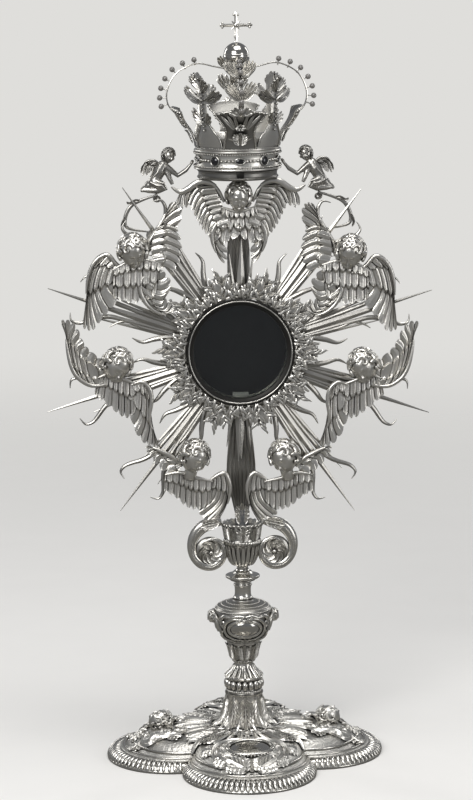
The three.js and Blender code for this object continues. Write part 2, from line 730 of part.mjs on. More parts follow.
// Middle lines of the flames, as [distance beyond the root, distance from the middle ray].
const LONG_FLAME = {
  line: [[0, 4], [43, 5], [68, 6.5], [81, 7.5], [93, 12.5], [103, 20], [109, 23.5], [115, 24], [118, 21.5], [120, 16]],
  half: 2.2,
  steps: 14,
};
const SHORT_FLAME = { line: [[0, 5], [17, 8], [32, 15], [43, 22], [54, 21]], half: 2.6, steps: 8 };
const SINGLE_FLAME = { line: [[0, 5], [23, 6.4], [48, 8], [63, 6.4], [73, 11.5], [79, 18]], half: 1.9, steps: 9 };

// Half the thickness of a bundle's middle ray at a distance from the centre of the sun.
function rayRidge(distance) {
  const t = (distance - ROOT_START) / (RAY_REACH - ROOT_START);
  return (RAY_HALF_THICKNESS * (RAY_HALF_WIDTH + (TIP_HALF_WIDTH - RAY_HALF_WIDTH) * t)) / RAY_HALF_WIDTH;
}

function ray(reach, halfWidth, lean) {
  const length = reach - ROOT_START;
  return solid(
    new THREE.CylinderGeometry(TIP_HALF_WIDTH, halfWidth, length, 4)
      .rotateZ(-Math.PI / 2)
      .scale(1, RAY_HALF_THICKNESS / halfWidth, 1)
      .translate(ROOT_START + length / 2, 0, 0)
      .rotateY(THREE.MathUtils.degToRad(-lean)),
  );
}

// A flame on one side of the middle ray, widest at a third of its length and pointed at its tip.
function flame({ line, half, steps }, side) {
  const places = line.map(
    ([x, z]) => new THREE.Vector3(ROOT_START + x * FLAME_UNIT, 0, side * z * FLAME_UNIT),
  );
  const curve = new THREE.CatmullRomCurve3(places);
  const left = [];
  const right = [];
  for (let i = 0; i <= steps; i += 1) {
    const { x, z } = curve.getPointAt(i / steps);
    const along = curve.getTangentAt(i / steps);
    const width = TIP_HALF_WIDTH + (half - TIP_HALF_WIDTH) * Math.sin(Math.PI * (0.25 + (0.75 * i) / steps));
    left.push([x - along.z * width, z + along.x * width]);
    right.push([x + along.z * width, z - along.x * width]);
  }
  return solid(plate([...left, ...right.reverse()], -FLAME_HALF_THICKNESS, FLAME_HALF_THICKNESS));
}

// The single flame is on the bundle's lower side.
function bundleShape(lowerSide) {
  const spread = THREE.MathUtils.degToRad(180 / BUNDLES - 1);
  const root = new THREE.Shape();
  root.absarc(0, 0, ROOT_START + ROOT_WIDTH, -spread, spread, false);
  root.absarc(0, 0, ROOT_START, spread, -spread, true);
  const thin = RAY_HALF_THICKNESS * 0.8;
  const settings = { depth: 2 * thin, bevelEnabled: false, curveSegments: 4 };
  const rootPlate = new THREE.ExtrudeGeometry(root, settings).rotateX(Math.PI / 2).translate(0, thin, 0);
  return join(
    solid(rootPlate),
    ray(RAY_REACH, RAY_HALF_WIDTH, 0),
    ...SIDE_RAYS.map(({ lean, reach }) => ray(reach, 3.6, lean)),
    ...[1, -1].flatMap((side) => [flame(LONG_FLAME, side), flame(SHORT_FLAME, side)]),
    flame(SINGLE_FLAME, lowerSide),
  );
}

// The bundles that point straight up and down are shorter and have no flames.
function shortBundleShape() {
  const beside = [7, -7].map((lean) => ray(SHORT_RAY_REACH - 14, 3, lean));
  return join(ray(SHORT_RAY_REACH, RAY_HALF_WIDTH, 0), ...beside);
}

function glory() {
  const group = new THREE.Group();
  group.rotation.y = THREE.MathUtils.degToRad(-GLORY_TURN);
  const step = 360 / BUNDLES;
  const short = shortBundleShape();
  const onLeft = bundleShape(1);
  const onRight = bundleShape(-1);
  for (let i = 0; i < BUNDLES; i += 1) {
    const angle = step / 2 + i * step;
    const across = Math.cos(THREE.MathUtils.degToRad(angle));
    const full = across < 0 ? onLeft : onRight;
    const mesh = piece("ray_bundle_" + (i + 1), Math.abs(across) < 0.1 ? short : full, silver());
    mesh.rotation.y = THREE.MathUtils.degToRad(-angle);
    group.add(mesh);
  }
  group.add(acanthusWreath());
  return group;
}

function acanthusWreath() {
  const inner = CASE_R + 1.8 + GAP;
  const ring = solid(
    ringAboutY(
      [
        [inner, ORNAMENT_FRONT_Y],
        [inner + WREATH_RIM, ORNAMENT_FRONT_Y],
        [inner + WREATH_RIM, ORNAMENT_BACK_Y],
        [inner, ORNAMENT_BACK_Y],
      ],
      FINE,
    ),
  );
  const half = [
    [inner + 2, 9],
    [inner + 8, 12],
    [inner + 12, 14],
    [WREATH_REACH - 14, 11],
    [WREATH_REACH - 10, 12.5],
    [WREATH_REACH - 6, 7],
    [WREATH_REACH, 0],
  ];
  const outline = [...half, ...half.slice(0, -1).map(([x, z]) => [x, -z]).reverse()];
  const leaves = Array.from({ length: BUNDLES }, (_, i) =>
    solid(
      plate(outline, ORNAMENT_FRONT_Y, ORNAMENT_BACK_Y).rotateY((-2 * Math.PI * i) / BUNDLES),
    ),
  );
  return piece("acanthus_wreath", join(ring, ...leaves), silver());
}

// Outlines of the left-hand figures, x and z from the centre of the case. Each wing runs along its arm
// from root to tip and comes back along the ends of its feathers.
const UPPER_CHERUB = {
  head: [-108, 104],
  breast: [[-120, 98], [-88, 106], [-70, 84], [-88, 62], [-110, 58]],
  wings: [
    {
      arm: [[-110, 80], [-123, 87], [-133, 97], [-145, 90], [-152, 73], [-154, 47], [-157, 24]],
      tips: [[-156, 22], [-145, 22], [-136, 34], [-128, 43], [-114, 51], [-106, 54], [-99, 62]],
    },
    {
      arm: [[-91, 100], [-92, 110], [-85, 119], [-78, 130], [-75, 139], [-71, 148]],
      tips: [[-68, 148], [-63, 145], [-62, 134], [-64, 112], [-60, 104], [-63, 93], [-69, 80]],
    },
    {
      arm: [[-91, 80], [-99, 62], [-92, 48], [-83, 40], [-75, 38]],
      tips: [[-74, 47], [-75, 56], [-70, 67], [-69, 72], [-76, 80]],
    },
  ],
};
const MIDDLE_CHERUB = {
  head: [-123, -12],
  breast: [[-141, -12], [-108, -14], [-102, -38], [-112, -60], [-142, -38]],
  wings: [
    {
      arm: [[-138, -35], [-148, -34], [-161, -26], [-168, -14], [-172, 4], [-174, 18], [-179, 30]],
      tips: [[-177, 31], [-169, 30], [-162, 23], [-158, 12], [-151, 5], [-144, -5], [-138, -12]],
    },
    {
      arm: [[-139, -26], [-130, -25], [-118, -30], [-105, -32]],
      tips: [[-107, -61], [-113, -66], [-123, -59], [-128, -48], [-138, -46], [-141, -40]],
    },
    {
      arm: [[-105, -33], [-98, -30], [-90, -37], [-88, -50], [-90, -68], [-84, -84], [-80, -94]],
      tips: [[-83, -96], [-89, -96], [-97, -91], [-104, -81], [-107, -67], [-111, -59]],
    },
  ],
};
const LOWER_CHERUB = {
  head: [-45, -105],
  breast: [[-63, -110], [-30, -112], [-22, -136], [-36, -152], [-72, -142], [-73, -126]],
  wings: [
    {
      arm: [[-60, -112], [-64, -103], [-77, -99], [-87, -99], [-90, -101]],
      tips: [[-89, -104], [-87, -111], [-80, -119], [-71, -129], [-64, -129], [-56, -125]],
    },
    {
      arm: [[-72, -125], [-58, -123], [-43, -128], [-27, -132]],
      tips: [[-34, -152], [-39, -159], [-51, -158], [-64, -146], [-73, -143]],
    },
    {
      arm: [[-27, -134], [-23, -126], [-14, -123], [-9, -134], [-9, -146], [-13, -160], [-19, -171]],
      tips: [[-24, -172], [-33, -170], [-39, -163], [-38, -154], [-34, -148]],
    },
  ],
};
const TOP_CHERUB = {
  head: [0, 156],
  breast: [[-13, 156], [13, 156], [11, 130], [-11, 130]],
  wings: [
    {
      arm: [[-10, 150], [-20, 166], [-29, 171], [-44, 171], [-56, 168], [-64, 169]],
      tips: [[-64, 165], [-62, 151], [-52, 147], [-39, 138], [-31, 126], [-12, 132]],
    },
    {
      arm: [[-8, 140], [-23, 132], [-27, 120], [-25, 111], [-22, 98], [-14, 89]],
      tips: [[-9, 89], [-13, 96], [-13, 110], [-9, 122], [-3, 134]],
    },
  ],
};
const VOLUTE_OUTLINE = [
  [-22, -174.5],
  [-25.5, -183],
  [-30, -190],
  [-22, -195],
  [-VOLUTE_EDGE_X / FIGURE_UNIT, -203],
  [-18, -213],
  [-24, -221],
  [-33, -225],
  [-44, -223],
  [-54, -214],
  [-59, -202],
  [-57, -190],
  [-49, -179],
  [-37, -174],
];
const SCROLL_PAD = [-86, 117];
const SCROLL_PAD_R = 5.5;
const SCROLL_LINE = [[-80, 157], [-93, 153], [-104, 148], [-110, 140], [-112, 130], [-107, 124], [-84, 120]];

// An outline of the left-hand side at its real size, turned over for the right-hand side.
function mirrored(points, side) {
  return points.map(([x, z]) => [-side * x * FIGURE_UNIT, z * FIGURE_UNIT]);
}

function wingPlate({ arm, tips }, side) {
  return solid(plate(mirrored([...arm, ...tips], side), ORNAMENT_FRONT_Y, ORNAMENT_BACK_Y));
}

function cherubHead(middle, side) {
  const y = ORNAMENT_BACK_Y - CHERUB_HEAD_FORWARD;
  const r = CHERUB_HEAD_R;
  const [[headX, z]] = mirrored([middle], side);
  const behind = block([headX - r, ORNAMENT_BACK_Y, z - r], [headX + r, ORNAMENT_BACK_Y + r, z + r]);
  return solid(ball([headX, y, z], r, 10, 7)).subtract(solid(behind));
}

// A head with its wings, cast in one; the feathered breast joins them behind the chin.
function cherub(name, { head, breast, wings }, side) {
  const chest = solid(plate(mirrored(breast, side), ORNAMENT_FRONT_Y, ORNAMENT_BACK_Y));
  const plates = wings.map((wing) => wingPlate(wing, side));
  return piece(name, join(cherubHead(head, side), chest, ...plates), silver());
}

// The topmost head has wings on both sides, a drop beneath its chin, and a boss that meets the crown's post.
function topCherub() {
  const sides = [-1, 1].flatMap((side) => TOP_CHERUB.wings.map((wing) => wingPlate(wing, side)));
  const [[x, z]] = mirrored([TOP_CHERUB.head], -1);
  const chest = solid(plate(mirrored(TOP_CHERUB.breast, -1), ORNAMENT_FRONT_Y, ORNAMENT_BACK_Y));
  const drop = solid(ball([x, ORNAMENT_BACK_Y - 4, z - 32], 3.8, 10, 6));
  const stalk = solid(block([-2, ORNAMENT_FRONT_Y, z - 34], [2, ORNAMENT_BACK_Y, z - 20]));
  const boss = solid(bar([x, ORNAMENT_FRONT_Y, z - 14], [x, BACKBONE_FRONT_Y - GAP, z - 14], 3, COARSE));
  const head = cherubHead(TOP_CHERUB.head, -1);
  return piece("cherub_top", join(head, chest, drop, stalk, boss, ...sides), silver());
}

function volute(name, side) {
  const outline = mirrored(VOLUTE_OUTLINE, side);
  const front = ORNAMENT_BACK_Y - VOLUTE_DEPTH / 2;
  return piece(name, plate(outline, front, front + VOLUTE_DEPTH), silver());
}

function voluteBolt(name, side) {
  const z = VOLUTE_BOLT_Z - SUN_Z;
  const near = cupConeRadius(VOLUTE_BOLT_Z + VOLUTE_BOLT_R) + GAP;
  const far = VOLUTE_EDGE_X - GAP;
  const y = ORNAMENT_BACK_Y;
  const shank = bar([side * near, y, z], [side * far, y, z], VOLUTE_BOLT_R, COARSE);
  const bead = ball([(side * (near + far)) / 2, y, z], VOLUTE_BALL_R, 8, 6);
  return piece(name, join(solid(shank), solid(bead)), silver());
}

// Ribbon of constant width along a line of points in x and z.
function ribbon(line, width, frontY, backY) {
  const curve = new THREE.CatmullRomCurve3(line.map(([x, z]) => new THREE.Vector3(x, 0, z)));
  const steps = 14;
  const left = [];
  const right = [];
  for (let i = 0; i <= steps; i += 1) {
    const { x, z } = curve.getPoint(i / steps);
    const along = curve.getTangent(i / steps);
    left.push([x - (along.z * width) / 2, z + (along.x * width) / 2]);
    right.push([x + (along.z * width) / 2, z - (along.x * width) / 2]);
  }
  return plate([...left, ...right.reverse()], frontY, backY);
}

// The scroll's lower end has a pad that rests on the back of a ray.
function puttoScroll(name, side) {
  const band = ribbon(mirrored(SCROLL_LINE, side), SCROLL_WIDTH, BACKBONE_FRONT_Y, BACKBONE_BACK_Y);
  const [[x, z]] = mirrored([SCROLL_PAD], side);
  const front = rayRidge(Math.hypot(x, z) - SCROLL_PAD_R) + GAP;
  const pad = bar([x, front, z], [x, BACKBONE_BACK_Y, z], SCROLL_PAD_R, COARSE);
  return piece(name, join(solid(band), solid(pad)), silver());
}

// A child angel who kneels on the scroll and reaches up to the crown's band.
function putto(name, side) {
  const y = (BACKBONE_FRONT_Y + BACKBONE_BACK_Y) / 2;
  const at = (x, z, depth = y) => [side * x * FIGURE_UNIT, depth, z * FIGURE_UNIT];
  const limb = (a, b, r) => solid(bar(a, b, r, 6));
  const handX = BAND_R + GAP + PUTTO_HAND_R;
  const hand = [side * handX, 0, BAND_Z + BAND_HEIGHT / 3 - SUN_Z];
  const parts = [
    ball(at(68.5, 195), PUTTO_HEAD_R, 10, 6),
    ball(at(76, 182), 6.5, 8, 6),
    ball(at(81, 171), 6.5, 8, 6),
    ball(hand, PUTTO_HAND_R, 6, 4),
  ].map(solid);
  const seatZ = SCROLL_LINE[0][1] * FIGURE_UNIT + SCROLL_WIDTH / 2 + GAP;
  const seat = solid(block([-150, -50, 100], [150, 50, seatZ]));
  const whole = join(
    ...parts,
    limb(at(70, 190), at(76, 182), 3.4),
    limb(at(76, 182), at(81, 171), 6),
    limb(at(72, 184), at(58, 175.5), 2.6),
    limb(at(58, 175.5), hand, 2),
    limb(at(81, 169), at(86, 164), 5),
    limb(at(86, 164), at(95, 161), 3.4),
    solid(plate(mirrored([[-77, 188], [-86, 189], [-94, 178], [-88, 180], [-80, 182]], side), y, y + 4)),
  ).subtract(seat);
  return piece(name, whole, silver());
}

function figures() {
  const turnedGroup = new THREE.Group();
  turnedGroup.rotation.y = THREE.MathUtils.degToRad(-GLORY_TURN);
  const straightGroup = new THREE.Group();
  for (const [word, side] of [["left", -1], ["right", 1]]) {
    turnedGroup.add(cherub("cherub_upper_" + word, UPPER_CHERUB, side));
    turnedGroup.add(cherub("cherub_middle_" + word, MIDDLE_CHERUB, side));
    turnedGroup.add(cherub("cherub_lower_" + word, LOWER_CHERUB, side));
    straightGroup.add(volute("volute_" + word, side));
    straightGroup.add(voluteBolt("volute_bolt_" + word, side));
    straightGroup.add(puttoScroll("putto_scroll_" + word, side));
    straightGroup.add(putto("putto_" + word, side));
  }
  straightGroup.add(topCherub());
  return [turnedGroup, straightGroup];
}

// Bar behind the topmost rays that carries the crown, with a stud through the drum's floor.
const STUD_Y = (BACKBONE_FRONT_Y + BACKBONE_BACK_Y) / 2;

function crownPost() {
  const low = SUN_Z + CASE_R + GAP;
  const high = CROWN_Z - GAP;
  const outline = [
    [-POST_WIDTH / 4, low + 0.8],
    [POST_WIDTH / 4, low + 0.8],
    [POST_WIDTH / 2, low + 14],
    [POST_WIDTH / 2, low + 52],
    [POST_WIDTH / 4, low + 80],
    [POST_WIDTH / 4, high],
    [-POST_WIDTH / 4, high],
    [-POST_WIDTH / 4, low + 80],
    [-POST_WIDTH / 2, low + 52],
    [-POST_WIDTH / 2, low + 14],
  ];
  const studTop = CROWN_Z + DRUM_FLOOR + STUD_NUT_HEIGHT + 1;
  const stud = bar([0, STUD_Y, high - 5], [0, STUD_Y, studTop], STUD_R, COARSE);
  const post = plate(outline, BACKBONE_FRONT_Y, BACKBONE_BACK_Y + 2.5);
  const nutZ = CROWN_Z + DRUM_FLOOR + GAP;
  const nut = hexNut([0, STUD_Y, nutZ], STUD_NUT_HEIGHT, STUD_NUT_R, STUD_R + GAP);
  return [piece("crown_post", join(solid(post), solid(stud)), silver()), piece("crown_nut", nut, steel())];
}

function crownDrum() {
  const wall = [
    [0, CROWN_Z],
    [DRUM_R, CROWN_Z],
    [DRUM_R, CROWN_Z + DRUM_HEIGHT],
    [DRUM_R - DRUM_WALL, CROWN_Z + DRUM_HEIGHT],
    [DRUM_R - DRUM_WALL, CROWN_Z + DRUM_FLOOR],
    [0, CROWN_Z + DRUM_FLOOR],
  ].map(([r, z]) => new THREE.Vector2(r, z));
  const drum = solid(new THREE.LatheGeometry(wall, FINE).rotateX(Math.PI / 2));
  const hole = bar([0, STUD_Y, CROWN_Z - 1], [0, STUD_Y, CROWN_Z + DRUM_FLOOR + 1], STUD_R + GAP, COARSE);
  return piece("crown_drum", drum.subtract(solid(hole)), silver());
}

// Strip of sheet that follows a line of [radius, height] outwards, as wide as the petal it makes.
function upright(line, thickness, width) {
  const back = line.map(([r, z]) => [r - thickness, z + thickness / 4]).reverse();
  return plate([...line, ...back], -width / 2, width / 2);
}

function crownCirclet() {
  const wallTop = BAND_TOP + CROWN_WALL_HEIGHT;
  const ring = solid(
    turned(
      [
        [BAND_R - BAND_WALL, BAND_Z],
        [BAND_R + 1.6, BAND_Z],
        [BAND_R + 1.6, BAND_Z + 2.5],
        [BAND_R, BAND_Z + 4],
        [BAND_R, BAND_TOP - 4],
        [BAND_R + 1.6, BAND_TOP - 2.5],
        [BAND_R + 1.6, BAND_TOP],
        [BAND_R - 1, BAND_TOP + 1],
        [BAND_R + 3.5, wallTop],
        [BAND_R + 3.5 - BAND_WALL, wallTop],
        [BAND_R - 1 - BAND_WALL, BAND_TOP + 1],
      ],
      MEDIUM + 4,
    ),
  );
  const petalLine = [
    [BAND_R + 2.5, wallTop - 4],
    [BAND_R + 6, wallTop + 4],
    [PETAL_REACH - 4, BAND_TOP + PETAL_HEIGHT - 5],
    [PETAL_REACH, BAND_TOP + PETAL_HEIGHT],
  ];
  const leafLine = [
    [BAND_R + 2.5, wallTop - 4],
    [LEAF_REACH - 5, BAND_TOP + LEAF_HEIGHT * 0.4],
    [LEAF_REACH - 3, BAND_TOP + LEAF_HEIGHT * 0.8],
    [LEAF_REACH, BAND_TOP + LEAF_HEIGHT],
  ];
  const around = [0, 1, 2, 3].flatMap((quarter) => [
    solid(upright(petalLine, 2, PETAL_WIDTH).rotateZ((quarter * Math.PI) / 2)),
    solid(upright(leafLine, 2, LEAF_WIDTH).rotateZ(((quarter + 0.5) * Math.PI) / 2)),
  ]);
  return piece("crown_circlet", join(ring, ...around), silver());
}

// One arch as [radius, height], from the rim of its petal over to the hub.
const ARCH_FOOT = [PETAL_REACH - 1, BAND_TOP + PETAL_HEIGHT + 2 * GAP];
const ARCH_END = [HUB_R - 2, BAND_TOP + ARCH_TOP - 8];
const archCurve = new THREE.CatmullRomCurve3(
  [
    ARCH_FOOT,
    [ARCH_REACH - 0.5, BAND_TOP + PETAL_HEIGHT + 10],
    [ARCH_REACH, BAND_TOP + ARCH_TOP - 26],
    [ARCH_REACH - 9, BAND_TOP + ARCH_TOP - 10],
    [ARCH_REACH - 28, BAND_TOP + ARCH_TOP - 1],
    [ARCH_REACH - 46, BAND_TOP + ARCH_TOP - 4],
    ARCH_END,
  ].map(([r, z]) => new THREE.Vector3(r, 0, z)),
);
const HUB_TOP = ARCH_END[1] + 2;

function crownArches() {
  const steps = 12;
  const outer = [];
  const inner = [];
  for (let i = 0; i <= steps; i += 1) {
    const p = archCurve.getPoint(i / steps);
    const along = archCurve.getTangent(i / steps);
    outer.push([p.x + (along.z * ARCH_THICKNESS) / 2, p.z - (along.x * ARCH_THICKNESS) / 2]);
    inner.push([p.x - (along.z * ARCH_THICKNESS) / 2, p.z + (along.x * ARCH_THICKNESS) / 2]);
  }
  outer[0][1] = ARCH_FOOT[1];
  inner[0][1] = ARCH_FOOT[1];
  const band = plate([...outer, ...inner.reverse()], -ARCH_WIDTH / 2, ARCH_WIDTH / 2);
  const pearls = Array.from({ length: PEARLS }, (_, i) => {
    const t = 0.12 + (0.56 * i) / (PEARLS - 1);
    const p = archCurve.getPoint(t);
    const along = archCurve.getTangent(t);
    const [x, z] = [p.x + along.z * PEARL_STAND, p.z - along.x * PEARL_STAND];
    const angle = Math.atan2(along.x, along.z);
    return solid(new THREE.OctahedronGeometry(PEARL_R + 1.2, 0).rotateY(angle).translate(x, 0, z));
  });
  const one = join(solid(band), ...pearls);
  const arches = [0, 90, 180, 270].map((angle) => one.rotate([0, 0, angle]));
  const hub = solid(bar([0, 0, HUB_TOP - HUB_HEIGHT], [0, 0, HUB_TOP], HUB_R, COARSE));
  return piece("crown_arches", join(hub, ...arches), silver());
}

const ORB_Z = HUB_TOP + GAP + ORB_R;
const CROSS_Z = ORB_Z + ORB_R + GAP;

function orbAndCross() {
  const orb = ball([0, 0, ORB_Z], ORB_R, 16, 10);
  const half = CROSS_BAR / 2;
  const armZ = CROSS_Z + CROSS_HEIGHT * 0.55;
  const end = CROSS_SPAN / 2;
  const bars = [
    block([-half, -half, CROSS_Z], [half, half, CROSS_Z + CROSS_HEIGHT]),
    block([-end, -half, armZ - half], [end, half, armZ + half]),
    ball([0, 0, CROSS_Z + CROSS_HEIGHT * 0.2], 2.2, 6, 4),
    ball([0, 0, armZ], 3, 6, 4),
  ].map(solid);
  return [piece("crown_orb", orb, silver()), piece("crown_cross", join(...bars), silver())];
}

const monstrance = new THREE.Group();
monstrance.add(footRim(), footShell());
monstrance.add(footCherub("foot_cherub_left", -1), footCherub("foot_cherub_right", 1));
monstrance.add(footCartouche("foot_cartouche_front", -1), footCartouche("foot_cartouche_back", 1));
monstrance.add(...stem(), socketCup(), ...tieRod(), sunStem());

const sun = new THREE.Group();
sun.position.z = SUN_Z;
sun.add(...glazedCase(), ...rearDoor(), ...doorLatch(), glory(), ...figures());
monstrance.add(sun);

monstrance.add(...crownPost(), crownDrum(), crownCirclet(), crownArches(), ...orbAndCross());

export default monstrance;
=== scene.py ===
"""A baroque sunburst monstrance in chased and burnished silver, piece by piece on its construction."""
import math

import bmesh
import bpy
from mathutils import Matrix, Vector


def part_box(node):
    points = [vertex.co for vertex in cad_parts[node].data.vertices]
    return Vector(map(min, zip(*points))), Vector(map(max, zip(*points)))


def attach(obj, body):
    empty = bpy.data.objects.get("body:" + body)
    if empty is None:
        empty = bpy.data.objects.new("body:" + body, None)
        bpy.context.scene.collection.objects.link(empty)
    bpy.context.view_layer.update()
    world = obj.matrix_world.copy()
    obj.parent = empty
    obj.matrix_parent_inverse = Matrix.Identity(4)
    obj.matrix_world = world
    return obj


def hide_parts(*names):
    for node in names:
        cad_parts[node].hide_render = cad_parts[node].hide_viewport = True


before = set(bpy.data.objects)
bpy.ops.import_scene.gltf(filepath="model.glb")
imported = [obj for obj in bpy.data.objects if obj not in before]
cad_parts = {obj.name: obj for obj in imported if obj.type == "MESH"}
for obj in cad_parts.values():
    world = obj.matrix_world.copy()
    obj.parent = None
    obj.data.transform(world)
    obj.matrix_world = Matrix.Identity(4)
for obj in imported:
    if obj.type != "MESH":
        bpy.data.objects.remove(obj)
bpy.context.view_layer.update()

bl_info = {"name": "Sunburst monstrance", "version": (1, 0, 0), "blender": (4, 5, 0),
    "location": "View3D > Sidebar > Monstrance",
    "description": "Models a silver monstrance with its rays, cherubs and crown, and lights it",
    "category": "Add Mesh"}

MM = 0.001
BODY = "monstrance"


def span(node):
    """Lowest and highest corner of a node, in millimetres."""
    return [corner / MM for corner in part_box(node)]


# Places that the construction sets, in millimetres
SUN_Z = (span("front_bezel")[0].z + span("front_bezel")[1].z) / 2  # middle of the window
SUN_TURN = -1.4  # degrees; the rays and the six side heads sit a little turned on the stem
ORNAMENT_Y = -2.5  # back of the wings and leaves, in front of the rays
FOOT_REACH = span("foot_rim")[1].x
BAND_Z = span("crown_circlet")[0].z

# The two finishes that most pieces share
BRIGHT, CHASED = "burnished_silver", "chased_silver"

# The other side of the upright axis
MIRROR = Matrix.Diagonal((-1, 1, 1, 1))

# Points across one feather of a wing, and the fewest and most along it
FEATHER_STEPS, FEWEST_STEPS, MOST_STEPS = 10, 24, 64

# Cross-sections that strokes of metal are drawn with, half width 1
FEATHER = [(-1, 0), (-0.8, 0.2), (-0.14, 0.24), (0, 0.36), (0.14, 0.24), (0.8, 0.2), (1, 0), (0, -0.26)]
LEAF = [(-1, -0.1), (-0.66, 0.5), (-0.22, 0.12), (0, 0.34), (0.22, 0.12), (0.66, 0.5), (1, -0.1), (0, -0.4)]
RAY = [(-1, 0), (-0.5, 0.17), (0, 0.4), (0.5, 0.17), (1, 0), (0.5, -0.17), (0, -0.4), (-0.5, -0.17)]
FLAME = [(-1, 0), (-0.6, 0.42), (0, 0.68), (0.6, 0.42), (1, 0), (0.6, -0.42), (0, -0.68), (-0.6, -0.42)]
ROUND = [(math.cos(math.pi * k / 5), math.sin(math.pi * k / 5)) for k in range(10)]
BAND = [(-1, 0), (-0.9, 0.24), (-0.5, 0.46), (0, 0.54), (0.5, 0.46), (0.9, 0.24), (1, 0), (0.8, -0.2),
    (-0.8, -0.2)]
SHEET = [(-1, 0.1), (-0.9, 0.32), (-0.72, 0.3), (-0.6, 0.08), (0, 0.16), (0.6, 0.08), (0.72, 0.3),
    (0.9, 0.32), (1, 0.1), (0.8, -0.16), (-0.8, -0.16)]


def millimetres(name, default, description):
    """A length that the user can change."""
    return bpy.props.FloatProperty(name=name, description=description, default=default * MM, unit="LENGTH")


def colour(name, code, description):
    """A colour that the user can change, given as an sRGB hex value."""
    return bpy.props.FloatVectorProperty(name=name, description=description, default=srgb(code), size=4,
        subtype="COLOR", min=0, max=1)


def srgb(code):
    """An sRGB hex value as linear red, green, blue and alpha."""
    channels = [int(code[i : i + 2], 16) / 255 for i in (0, 2, 4)]
    return (*[c / 12.92 if c <= 0.04045 else ((c + 0.055) / 1.055) ** 2.4 for c in channels], 1.0)


class FinishColours(bpy.types.PropertyGroup):
    """Colours of the metals, glass, stones and floor."""

    # Silver is the colour of open surfaces; the tarnish colour darkens the recesses, as tarnish and as
    # painted shade
    silver: colour("Silver", "d6d3cc", "Burnished silver where hands and cloth keep it bright")
    tarnish_and_shade: colour("Tarnish", "2c2a27", "Sulphide left in the recesses")
    steel: colour("Steel", "77787a", "Rod and nuts inside the stem")
    stone: colour("Stone", "0c0b0e", "Dark stones of the crown")
    pearl: colour("Pearl", "7d7a75", "Grey pearls of the crown")
    floor: colour("Floor", "eceae6", "Plain studio floor")


class GlorySizes(bpy.types.PropertyGroup):
    """Sizes of the rays and the wreath."""

    reach: millimetres("Ray reach", 201, "Centre of the sun to the tips of the long rays")
    short_reach: millimetres("Short ray reach", 112, "Centre of the sun to the tips of the upright rays")
    ray_width: millimetres("Ray width", 11, "Width of a long ray at its root")
    wreath_reach: millimetres("Wreath reach", 86, "Centre of the sun to the tips of the leaves")
    clumps: bpy.props.IntProperty(name="Leaf clumps", description="Large leaves round the window",
        default=10)


class FigureSizes(bpy.types.PropertyGroup):
    """Sizes of the winged heads and the putti."""

    head: millimetres("Head radius", 14.4, "Middle of a cherub's head to its side")
    top_head: millimetres("Top head radius", 12.6, "Middle of the topmost head to its side")
    putto_head: millimetres("Putto head radius", 6.6, "Middle of a putto's head to its side")


class CrownSizes(bpy.types.PropertyGroup):
    """Sizes of the crown's jewels and ball."""

    pearl: millimetres("Pearl radius", 2.7, "Pearls that stand along the arches")
    seed: millimetres("Seed pearl radius", 1.1, "Small pearls along the edges")
    orb: millimetres("Orb radius", 12.6, "Ball under the cross")


class StudioSettings(bpy.types.PropertyGroup):
    """Where the camera stands."""

    distance: bpy.props.FloatProperty(name="Distance", description="Camera to stem", default=2.8,
        unit="LENGTH")
    height: bpy.props.FloatProperty(name="Height", description="Camera above table", default=0.865,
        unit="LENGTH")
    lens: bpy.props.FloatProperty(name="Lens", description="Focal length in millimetres", default=128.0)


def sizes(context, group):
    return getattr(context.scene, "monstrance_" + group)


def deselect():
    bpy.ops.object.select_all(action="DESELECT")


def select(*objects):
    deselect()
    for obj in objects:
        obj.select_set(True)
    bpy.context.view_layer.objects.active = objects[0]


def placed(name, data):
    """A new object in the scene."""
    obj = bpy.data.objects.new(name, data)
    bpy.context.scene.collection.objects.link(obj)
    return obj


def curve_point(points, t):
    """The point at share t of a smooth curve through points of any number of coordinates."""
    spans = len(points) - 1
    k = min(int(t * spans), spans - 1)
    u = t * spans - k
    a, b, c, d = (points[min(max(k + j, 0), spans)] for j in (-1, 0, 1, 2))
    return tuple(0.5 * (2 * q + (r - p) * u + (2 * p - 5 * q + 4 * r - s) * u**2
        + (3 * q - p - 3 * r + s) * u**3) for p, q, r, s in zip(a, b, c, d))


def smooth_line(points, count):
    return [curve_point(points, i / (count - 1)) for i in range(count)]


def at(x, y, z):
    """A move to a place."""
    return Matrix.Translation((x, y, z))


def stretched(x, y, z):
    return Matrix.Diagonal((x, y, z, 1))


def put(obj, place):
    """Moves, turns or stretches a piece by its mesh."""
    obj.data.transform(place)
    return obj


def spun(degrees, axis="Z"):
    """A turn about an axis."""
    return Matrix.Rotation(math.radians(degrees), 4, axis)


def line_length(points):
    return sum(math.dist(a, b) for a, b in zip(points, points[1:]))


def rounded(points, times=2):
    """Cuts the corners of a profile, so that its mouldings catch the light."""
    for _ in range(times):
        cut = [points[0]]
        for a, b in zip(points, points[1:]):
            cut += [tuple(p + (q - p) * share for p, q in zip(a, b)) for share in (0.25, 0.75)]
        points = [*cut, points[-1]]
    return points


